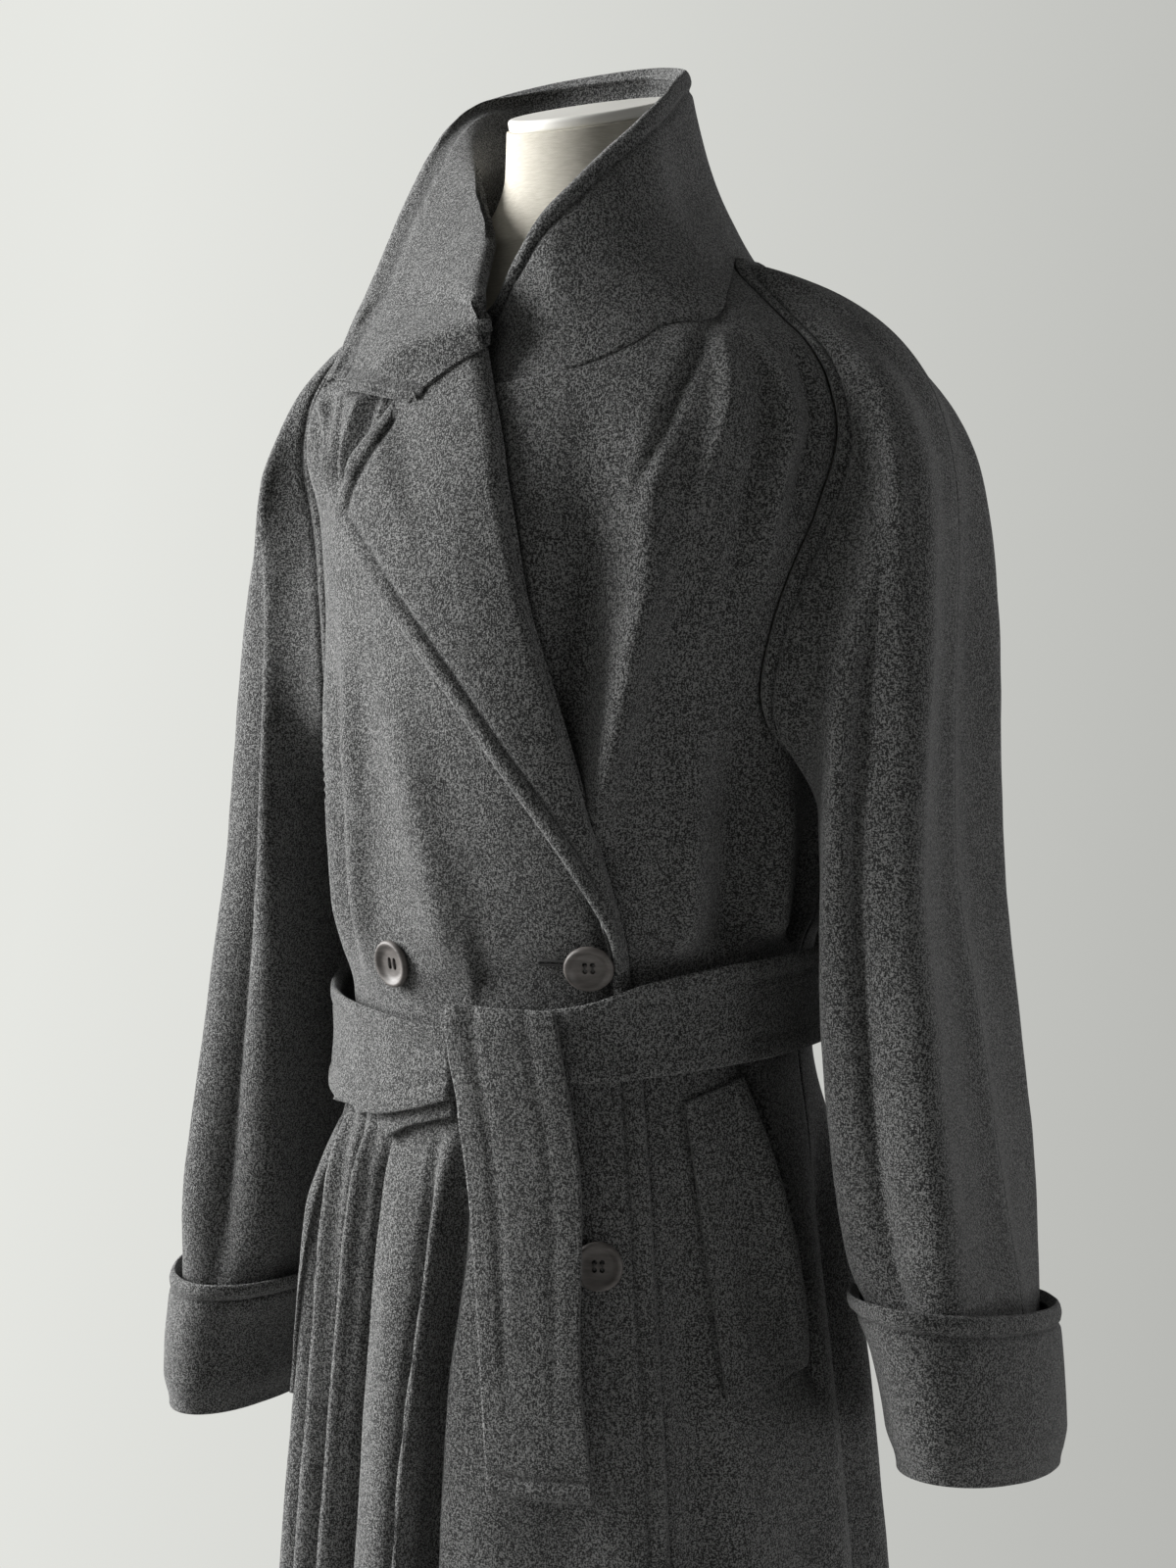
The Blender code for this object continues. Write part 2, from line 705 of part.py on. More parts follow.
def lapel(across, share):
    """Lapel: across runs from its outer edge to the roll line, share from foot to top."""
    roll_height = read(LAPEL, share, 1)
    roll_angle = read(LAPEL, share, 2)
    edge_height = read(LAPEL, share, 3)
    edge_angle = read(LAPEL, share, 4)
    height = mix(edge_height, roll_height, across)
    angle = mix(edge_angle, roll_angle, across)
    lift = LAPEL_LIFT * math.sin(0.5 * math.pi * (1.0 - across)) * ease(share * 2.0)
    return body_point(angle, height, LAPEL_OUT + lift)


def seam_share(across):
    """Return the share round a half sleeve at a column, level with a row of the body."""
    column = across * SLEEVE_COLUMNS
    first_share = SEAM_SHARES[-1][1]
    if column < 1.0:
        return first_share * column
    row = (column - 1.0) / SEAM_ROW_COUNT
    body_share = 1.0 - row * SEAM_ROW_COUNT / BODY_ROW_COUNT
    return read(SEAM_SHARES, row_height(body_share, NECK_SIDE))


def seam_point(across, side, front):
    """Return a point on a raglan seam, from the over-arm seam at the neck to the underarm."""
    table = FRONT_SEAM if front else BACK_SEAM
    column = across * SLEEVE_COLUMNS
    if column < 1.0:
        angle = mix(90.0, table[-1][1], column)
        return body_point(side * angle, NECK_SIDE)
    row = (column - 1.0) / SEAM_ROW_COUNT
    height = row_height(1.0 - row * SEAM_ROW_COUNT / BODY_ROW_COUNT, NECK_SIDE)
    return body_point(side * read(table, height), height)


def sleeve_ring(share, height, side, front, grow=0.0):
    """Return a point on the sleeve's ring at a height, grown outwards by a distance."""
    level = height
    if side < 0:
        level += RIGHT_DROP * ease((RIGHT_DROP_FROM - height) / (RIGHT_DROP_FROM - RIGHT_DROP_TO))
    narrower = 0.0
    if side < 0:
        narrower = 0.5 * read(RIGHT_NARROWER, height)
    centre_x = read(SLEEVE_RINGS, level, 1) - narrower
    centre_y = read(SLEEVE_RINGS, level, 2)
    half_width = read(SLEEVE_RINGS, level, 3) - narrower + grow
    half_depth = read(SLEEVE_RINGS, level, 4) + grow
    turn = math.pi * share
    depth = -half_depth if front else half_depth
    x = centre_x + half_width * math.cos(turn)
    y = centre_y + depth * math.sin(turn)
    if side > 0:
        height -= LEFT_TILT * y * ease((LEFT_TILT_FROM - height) / LEFT_TILT_REACH)
    return Vector((side * x, y, height))


def sleeve_end(side):
    """Return the height where a sleeve ends inside its cuff."""
    return CUFFS["left" if side > 0 else "right"]["bottom"] + 0.002


def sleeve_surface(across, along, side, front):
    """Return a point of a half sleeve, with along from its seam to the cuff."""
    share = seam_share(across)
    ring_height = mix(RING_INNER, RING_OUTER, 0.5 + 0.5 * math.cos(math.pi * share))
    if along > SHOULDER_SHARE:
        down = (along - SHOULDER_SHARE) / (1.0 - SHOULDER_SHARE)
        height = mix(ring_height, sleeve_end(side), down)
        return sleeve_ring(share, height, side, front)
    end = sleeve_ring(share, ring_height, side, front)
    below = sleeve_ring(share, ring_height - 0.01, side, front)
    rounded = share * share / (share + OVER_ARM_ROUND)
    start_out = Vector([read(SLEEVE_START, rounded, column) for column in (1, 2, 3)])
    if not front:
        start_out.y = -start_out.y
    start_out.x *= side
    if side < 0:
        start_out.x *= RIGHT_SHOULDER
    start = seam_point(across, side, front) + start_out.normalized() * SEAM_GAP
    end_pull = (below - end).normalized() * read(SLEEVE_START, rounded, 4)
    step = along / SHOULDER_SHARE
    square = step * step
    cube = square * step
    point = start * (2 * cube - 3 * square + 1) + end * (3 * square - 2 * cube)
    point += start_out * (cube - 2 * square + step) + end_pull * (cube - square)
    return point


def sleeve_fold(share, along):
    """Return how far a half sleeve's folds move its surface outwards."""
    total = 0.0
    for start_share, start_along, end_share, end_along, width, depth in SLEEVE_FOLDS:
        step = (along - start_along) / (end_along - start_along)
        if not 0.0 < step < 1.0:
            continue
        apart = (share - mix(start_share, end_share, step)) / width
        fade = ease(step / 0.3) * ease((1.0 - step) / 0.4) * ease((1.0 - along) / 0.2)
        total += depth * fade * math.exp(-apart * apart)
    return total


def half_sleeve(across, along, side, front):
    """Return a point of a half sleeve with its folds."""
    point = sleeve_surface(across, along, side, front)
    depth = sleeve_fold(seam_share(across), along)
    if abs(depth) < 0.00001:
        return point
    step = 0.01
    around = sleeve_surface(min(1.0, across + step), along, side, front)
    around = around - sleeve_surface(max(0.0, across - step), along, side, front)
    down = sleeve_surface(across, min(1.0, along + step), side, front)
    down = down - sleeve_surface(across, max(0.0, along - step), side, front)
    normal = around.cross(down).normalized()
    outward = point - Vector((side * read(SLEEVE_RINGS, point.z, 1), 0.0, point.z))
    if normal.dot(outward) < 0.0:
        normal = -normal
    return point + normal * depth


def cuff_surface(around, share, side):
    """Return a point of a turned-back cuff, from its fold at the bottom to its open top."""
    sizes = CUFFS["left" if side > 0 else "right"]
    front = around >= 0.5
    half = seam_share(abs(around * 2.0 - 1.0))
    grow = DOUBLE_CLOTH + CUFF_GAP + CUFF_FLARE * ease(share)
    grow += CUFF_ROLL * ease(share / CUFF_ROLL_SHARE)
    height = mix(sizes["bottom"], sizes["top"], share)
    return sleeve_ring(half, height, side, front, grow)


def neckline(angle):
    """Return the neckline's height at an angle of the collar's table."""
    if angle < -280.0:
        return read(LEFT_NECKLINE, angle + 360.0)
    if angle < -260.0 or -100.0 < angle < -80.0:
        return NECK_SIDE
    if angle < -80.0:
        return read(BACK_NECKLINE, -angle)
    return read(RIGHT_NECKLINE, -angle)


def collar_value(place, column):
    """Return a column of the collar's table at a place between its rows, smoothly."""
    first = min(int(place), len(COLLAR) - 2)
    step = place - first
    picked = [min(max(first + shift, 0), len(COLLAR) - 1) for shift in (-1, 0, 1, 2)]
    before, left, right, after = [COLLAR[row][column] for row in picked]
    square = step * step
    cube = square * step
    value = left * (2 * cube - 3 * square + 1) + right * (3 * square - 2 * cube)
    value += (right - before) * 0.5 * (cube - 2 * square + step)
    value += (after - left) * 0.5 * (cube - square)
    return value


def collar(around, share):
    """Return a point of the collar; around runs from its right end to its left end."""
    place = around * (len(COLLAR) - 1)
    angle = collar_value(place, 0)
    if place < COLLAR_STEPS_ON_LAPEL:
        height = read(COLLAR_GORGE, angle)
    else:
        height = neckline(angle)
        from_lapel = ease(place - COLLAR_STEPS_ON_LAPEL)
        height = mix(COLLAR_GORGE[-1][1], height, from_lapel)
    from_front = abs(angle_apart(angle, 0.0))
    from_shoulder = (from_front - COLLAR_SHOULDER_ANGLE) / COLLAR_SHOULDER_REACH
    height += COLLAR_SEAM_RISE + COLLAR_SHOULDER_RISE * math.exp(-from_shoulder * from_shoulder)
    foot = body_point(angle, height, collar_value(place, 1), 0.0)
    roll = Vector([collar_value(place, column) for column in (2, 3, 4)])
    edge = Vector([collar_value(place, column) for column in (5, 6, 7)])
    if share <= COLLAR_ROLL_SHARE:
        point = foot.lerp(roll, share / COLLAR_ROLL_SHARE)
    else:
        point = roll.lerp(edge, (share - COLLAR_ROLL_SHARE) / (1.0 - COLLAR_ROLL_SHARE))
    soften = COLLAR_SOFTEN * math.exp(-((share - COLLAR_ROLL_SHARE) / 0.16) ** 2)
    return point.lerp((foot + edge) * 0.5, soften)


def belt(around, share):
    """Return a point of the belt's band; around runs from the knot's left round the back."""
    angle = mix(BELT[0][0], BELT[-1][0], around)
    height = read(BELT, angle, 1) + (share * 2.0 - 1.0) * read(BELT, angle, 2)
    return body_point(angle, height, BELT_OUT)


def surface_angle(x, height):
    """Return the angle where the body's front has this x."""
    return math.degrees(math.asin((x - read(SECTIONS, height, 3)) / read(SECTIONS, height, 1)))


def tail(across, share):
    """Return a point of the belt's hanging end, from its bottom to the knot."""
    height = mix(TAIL[0][0], TAIL[-1][0], share)
    left = read(TAIL, height, 1)
    right = read(TAIL, height, 2)
    x = mix(left, right, across)
    out = TAIL_OUT + read(TAIL, height, 3)
    return body_point(surface_angle(x, height), height, out, 0.0)


def short_end(across, share):
    """Return a point of the belt's short end, which shows below the band."""
    angle = read(SHORT_END, across, 1)
    height = mix(read(SHORT_END, across, 2), SHORT_END_TOP, share)
    return body_point(angle, height, SHORT_END_OUT)


def pocket(across, share, side):
    """Return a point of a pocket; across runs from its sewn edge to its mouth."""
    top = [mix(POCKET_TOP_FRONT[i], POCKET_TOP_SIDE[i], across) for i in (0, 1)]
    bottom = [mix(POCKET_BOTTOM_FRONT[i], POCKET_BOTTOM_SIDE[i], across) for i in (0, 1)]
    angle = mix(bottom[0], top[0], share)
    height = mix(bottom[1], top[1], share)
    if side < 0:
        height -= RIGHT_POCKET_DROP
    gape = POCKET_GAPE * ease((across - 0.45) / 0.55) * math.sin(math.pi * share) ** 0.8
    layer = RIGHT_POCKET_OUT + LAYER_OUT * right_layer(-angle) if side < 0 else 0.0
    return body_point(side * angle, height, POCKET_OUT + layer + gape)


def make_body(material, collection):
    """Make the two fronts, the back and the lapel."""
    panels = (
        ("coat_front_left", left_front, 22),
        ("coat_front_right", right_front, 28),
        ("coat_back", back, 30),
    )
    for name, surface, columns in panels:
        panel = grid_object(name, material, collection, surface, columns, BODY_ROW_COUNT)
        add_wall(panel, CLOTH)
    facing = grid_object("lapel_right", material, collection, lapel, 6, 15)
    add_wall(facing, DOUBLE_CLOTH)


def make_sleeves(material, collection):
    """Make both halves of each raglan sleeve, and the cuffs."""
    for side, side_name in ((1, "left"), (-1, "right")):
        for front, half_name in ((True, "front"), (False, "back")):
            name = f"sleeve_{side_name}_{half_name}"
            trim = HALF_GAP if not front else 0.0

            def surface(across, along, side=side, front=front, trim=trim):
                place = mix(trim, 1.0 - trim, across)
                return half_sleeve(place, 1.0 - along, side, front)

            sleeve = grid_object(
                name, material, collection, surface, SLEEVE_COLUMNS, SLEEVE_ROWS)
            if (side > 0) == front:
                turn_faces(sleeve)
            add_wall(sleeve, CLOTH)

        def cuff(around, share, side=side):
            return cuff_surface(around, share, side)

        columns = 2 * SLEEVE_COLUMNS
        ring = grid_object(f"cuff_{side_name}", material, collection, cuff, columns, 4)
        close_ring(ring)
        if side > 0:
            turn_faces(ring)
        add_wall(ring, DOUBLE_CLOTH)


def make_collar(material, collection):
    """Make the turned-up collar."""
    sheet = grid_object("collar", material, collection, collar, 38, 7)
    turn_faces(sheet)
    add_wall(sheet, DOUBLE_CLOTH)


def make_belt(material, collection):
    """Make the belt's band and its hanging end."""
    band = grid_object("belt_band", material, collection, belt, 40, 3)
    add_wall(band, BELT_THICK)
    end = grid_object("belt_tail", material, collection, tail, 4, 12)
    add_wall(end, BELT_THICK)
    short = grid_object("belt_short_end", material, collection, short_end, 6, 3)
    add_wall(short, SHORT_END_THICK)


def make_pockets(material, collection):
    """Make the two patch pockets."""
    for side, side_name in ((1, "left"), (-1, "right")):

        def surface(across, share, side=side):
            return pocket(across, share, side)

        patch = grid_object(f"pocket_{side_name}", material, collection, surface, 7, 8)
        if side < 0:
            turn_faces(patch)
        add_wall(patch, DOUBLE_CLOTH)


def make_buttons(material, collection, cutters):
    """Make the buttons, turned, with four holes, flat on the right front."""
    for name, angle, height, room in BUTTONS:
        mesh = bpy.data.meshes.new(name)
        bm = bmesh.new()
        points = [bm.verts.new((radius, 0.0, up)) for radius, up in BUTTON_PROFILE]
        for first, second in zip(points, points[1:]):
            bm.edges.new((first, second))
        bm.to_mesh(mesh)
        bm.free()
        mesh.materials.append(material)
        button = bpy.data.objects.new(name, mesh)
        collection.objects.link(button)
        turn = button.modifiers.new("turn", "SCREW")
        turn.axis = "Z"
        turn.steps = BUTTON_STEPS
        turn.render_steps = BUTTON_STEPS
        turn.use_merge_vertices = True
        turn.merge_threshold = 0.00001
        holes = bpy.data.meshes.new(name + "_holes")
        bm = bmesh.new()
        for step_x in (-0.5, 0.5):
            for step_y in (-0.5, 0.5):
                spot = Matrix.Translation((step_x * HOLE_SPACING, step_y * HOLE_SPACING, 0.002))
                bmesh.ops.create_cone(
                    bm, cap_ends=True, segments=HOLE_SIDES, radius1=HOLE_RADIUS, radius2=HOLE_RADIUS,
                    depth=0.008, matrix=spot)
        bm.to_mesh(holes)
        bm.free()
        cutter = bpy.data.objects.new(name + "_holes", holes)
        cutter.hide_render = True
        cutter.display_type = "WIRE"
        cutters.objects.link(cutter)
        cut = button.modifiers.new("holes", "BOOLEAN")
        cut.operation = "DIFFERENCE"
        cut.object = cutter
        normal = body_normal(angle, height)
        layer = LAYER_OUT * right_layer(angle)
        centre = body_point(angle, height, layer) + normal * room
        up = Vector((0.0, 0.0, 1.0))
        x_axis = up.cross(normal).normalized()
        y_axis = normal.cross(x_axis)
        rows = [(x_axis[i], y_axis[i], normal[i], centre[i]) for i in range(3)]
        placing = Matrix((*rows, (0.0, 0.0, 0.0, 1.0)))
        button.matrix_world = placing
        cutter.matrix_world = placing


def form_section(height):
    """Return the form's half width and half depth at a height below its neck."""
    half_width = read(SECTIONS, height, 1) - read(FORM_ROOM, height, 1)
    half_depth = read(SECTIONS, height, 2) - read(FORM_ROOM, height, 2)
    return half_width, half_depth




def make_torso(material, collection):
    """Make the form's torso and neck from a sphere whose rings follow the coat's sections."""
    rings = len(TORSO_RINGS)
    mesh = bpy.data.meshes.new("form_torso")
    bm = bmesh.new()
    bmesh.ops.create_uvsphere(bm, u_segments=24, v_segments=rings + 1, radius=1.0)
    for vert in bm.verts:
        place = math.acos(max(-1.0, min(1.0, -vert.co.z))) / math.pi * (rings + 1)
        ring = round(place)
        row = min(max(ring - 1, 0), rings - 1)
        height, share = TORSO_RINGS[row]
        if height > NECK_TABLE_FROM:
            half_width = read(FORM_NECK, height, 1)
            half_depth = read(FORM_NECK, height, 2)
        else:
            half_width, half_depth = form_section(height)
        flat = Vector((vert.co.x, vert.co.y, 0.0))
        if ring in (0, rings + 1):
            share = 0.0
        else:
            flat.normalize()
        lean = ease((height - NECK_LEAN_FROM) / NECK_LEAN_REACH)
        x = flat.x * half_width * share
        x += mix(read(SECTIONS, height, 3), NECK_CENTRE, lean)
        y = flat.y * half_depth * share
        tilt = NECK_TILT * ease((height - NECK_TILT_FROM) / (NECK_TOP - NECK_TILT_FROM))
        vert.co = Vector((x, y, height + tilt * y))
    bm.to_mesh(mesh)
    bm.free()
    mesh.shade_smooth()
    mesh.materials.append(material)
    torso = bpy.data.objects.new("form_torso", mesh)
    collection.objects.link(torso)


def make_cap(material, collection):
    """Make the cap on the neck, tilted forwards with the neck's top."""
    bpy.ops.mesh.primitive_cylinder_add(vertices=32, radius=NECK_RADIUS - 0.0006, depth=CAP_THICK)
    cap = bpy.context.active_object
    cap.name = "form_neck_cap"
    cap.data.name = "form_neck_cap"
    for owner in list(cap.users_collection):
        owner.objects.unlink(cap)
    collection.objects.link(cap)
    lean = math.atan(NECK_TILT)
    lift = (CAP_THICK / 2.0 + SEAM_GAP) / math.cos(lean)
    cap.rotation_euler = (lean, 0.0, 0.0)
    cap.location = (NECK_CENTRE, 0.0, NECK_TOP + lift)
    cap.data.materials.append(material)
    edge = cap.modifiers.new("edge", "BEVEL")
    edge.width = 0.002
    edge.segments = 2


def make_stand(pole_material, base_material, collection):
    """Make the pole and the round base."""
    mesh = bpy.data.meshes.new("stand_base")
    bm = bmesh.new()
    points = [bm.verts.new((radius, 0.0, up)) for radius, up in BASE_PROFILE]
    for first, second in zip(points, points[1:]):
        bm.edges.new((first, second))
    bm.to_mesh(mesh)
    bm.free()
    mesh.materials.append(base_material)
    base = bpy.data.objects.new("stand_base", mesh)
    collection.objects.link(base)
    turn = base.modifiers.new("turn", "SCREW")
    turn.axis = "Z"
    turn.steps = 40
    turn.render_steps = 40
    turn.use_merge_vertices = True
    turn.merge_threshold = 0.00001
    bottom = BASE_PROFILE[0][1] + 0.0003
    top = TORSO_BOTTOM - 0.0003
    bpy.ops.mesh.primitive_cylinder_add(
        vertices=24, radius=POLE_RADIUS, depth=top - bottom,
        location=(0.0, 0.0, (top + bottom) / 2.0))
    pole = bpy.context.active_object
    pole.name = "stand_pole"
    pole.data.name = "stand_pole"
    for owner in list(pole.users_collection):
        owner.objects.unlink(pole)
    collection.objects.link(pole)
    pole.data.materials.append(pole_material)


def main():
    """Build the coat, the form and its stand."""
    clear_scene()
    parts = make_collection(COLLECTION)
    cutters = make_collection(CUTTERS)
    wool = make_material("wool", WOOL, 0.95)
    horn = make_material("horn", HORN, 0.45)
    linen = make_material("linen", LINEN, 0.90)
    cap = make_material("cap", CAP, 0.60)
    steel = make_material("steel", STEEL, 0.35, 1.0)
    enamel = make_material("enamel", ENAMEL, 0.45)
    make_body(wool, parts)
    make_sleeves(wool, parts)
    make_collar(wool, parts)
    make_belt(wool, parts)
    make_pockets(wool, parts)
    make_buttons(horn, parts, cutters)
    make_torso(linen, parts)
    make_cap(cap, parts)
    make_stand(steel, enamel, parts)


main()
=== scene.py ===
import math
import bpy
import bmesh
from mathutils import Matrix, Vector, noise


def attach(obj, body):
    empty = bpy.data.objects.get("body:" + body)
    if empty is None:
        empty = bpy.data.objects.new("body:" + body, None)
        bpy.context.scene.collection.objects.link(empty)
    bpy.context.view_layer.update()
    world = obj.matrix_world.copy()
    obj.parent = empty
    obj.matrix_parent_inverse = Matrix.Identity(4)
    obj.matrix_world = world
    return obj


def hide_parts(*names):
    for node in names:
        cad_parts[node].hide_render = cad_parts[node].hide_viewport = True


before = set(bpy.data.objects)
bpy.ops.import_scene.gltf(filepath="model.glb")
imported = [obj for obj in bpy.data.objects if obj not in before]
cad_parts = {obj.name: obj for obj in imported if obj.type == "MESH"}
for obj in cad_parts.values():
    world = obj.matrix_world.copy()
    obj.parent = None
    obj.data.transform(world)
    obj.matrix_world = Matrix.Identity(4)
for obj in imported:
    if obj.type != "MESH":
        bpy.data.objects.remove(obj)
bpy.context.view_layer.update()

# metres, angles round the body in degrees from the front, growing towards the wearer's left
cloth = {
    "wall": 0.0026,
    "doubleWall": 0.0042,  # lapel, collar, cuffs and pockets
    "seamGap": -0.0004,
    "layerOut": 0.0046,  # the right front over the left one
    "hiddenDepth": 0.013,  # the left front where it is covered
    "sideGapAngle": 0.3,  # between back and fronts
}


def ease(value):
    value = min(1.0, max(0.0, value))
    return value * value * (3.0 - 2.0 * value)


def mix(low, high, share):
    return low + (high - low) * share


def bell(apart):
    return math.exp(-apart * apart)


def sharedSlope(first, second):  # slope at a row, never past its neighbours
    return 2.0 * first * second / (first + second) if first * second > 0.0 else 0.0


def curve(left, right, leftSlope, rightSlope, step):
    square = step * step
    cube = square * step
    value = left * (2 * cube - 3 * square + 1) + right * (3 * square - 2 * cube)
    return value + leftSlope * (cube - 2 * square + step) + rightSlope * (cube - square)


def read(table, where, column=1):  # a smooth line through a table's rows
    if where <= table[0][0]:
        return table[0][column]
    if where >= table[-1][0]:
        return table[-1][column]
    row = 0
    while where > table[row + 1][0]:
        row += 1
    left, right = table[row], table[row + 1]
    width = right[0] - left[0]
    slope = leftSlope = rightSlope = (right[column] - left[column]) / width
    if row > 0:
        before = table[row - 1]
        leftSlope = sharedSlope(slope, (left[column] - before[column]) / (left[0] - before[0]))
    if row + 2 < len(table):
        after = table[row + 2]
        rightSlope = sharedSlope(slope, (after[column] - right[column]) / (after[0] - right[0]))
    return curve(left[column], right[column], leftSlope * width, rightSlope * width,
                 (where - left[0]) / width)


def readRow(table, where):
    return [read(table, where, column) for column in range(1, len(table[0]))]


def angleApart(first, second):
    return (first - second + 180.0) % 360.0 - 180.0


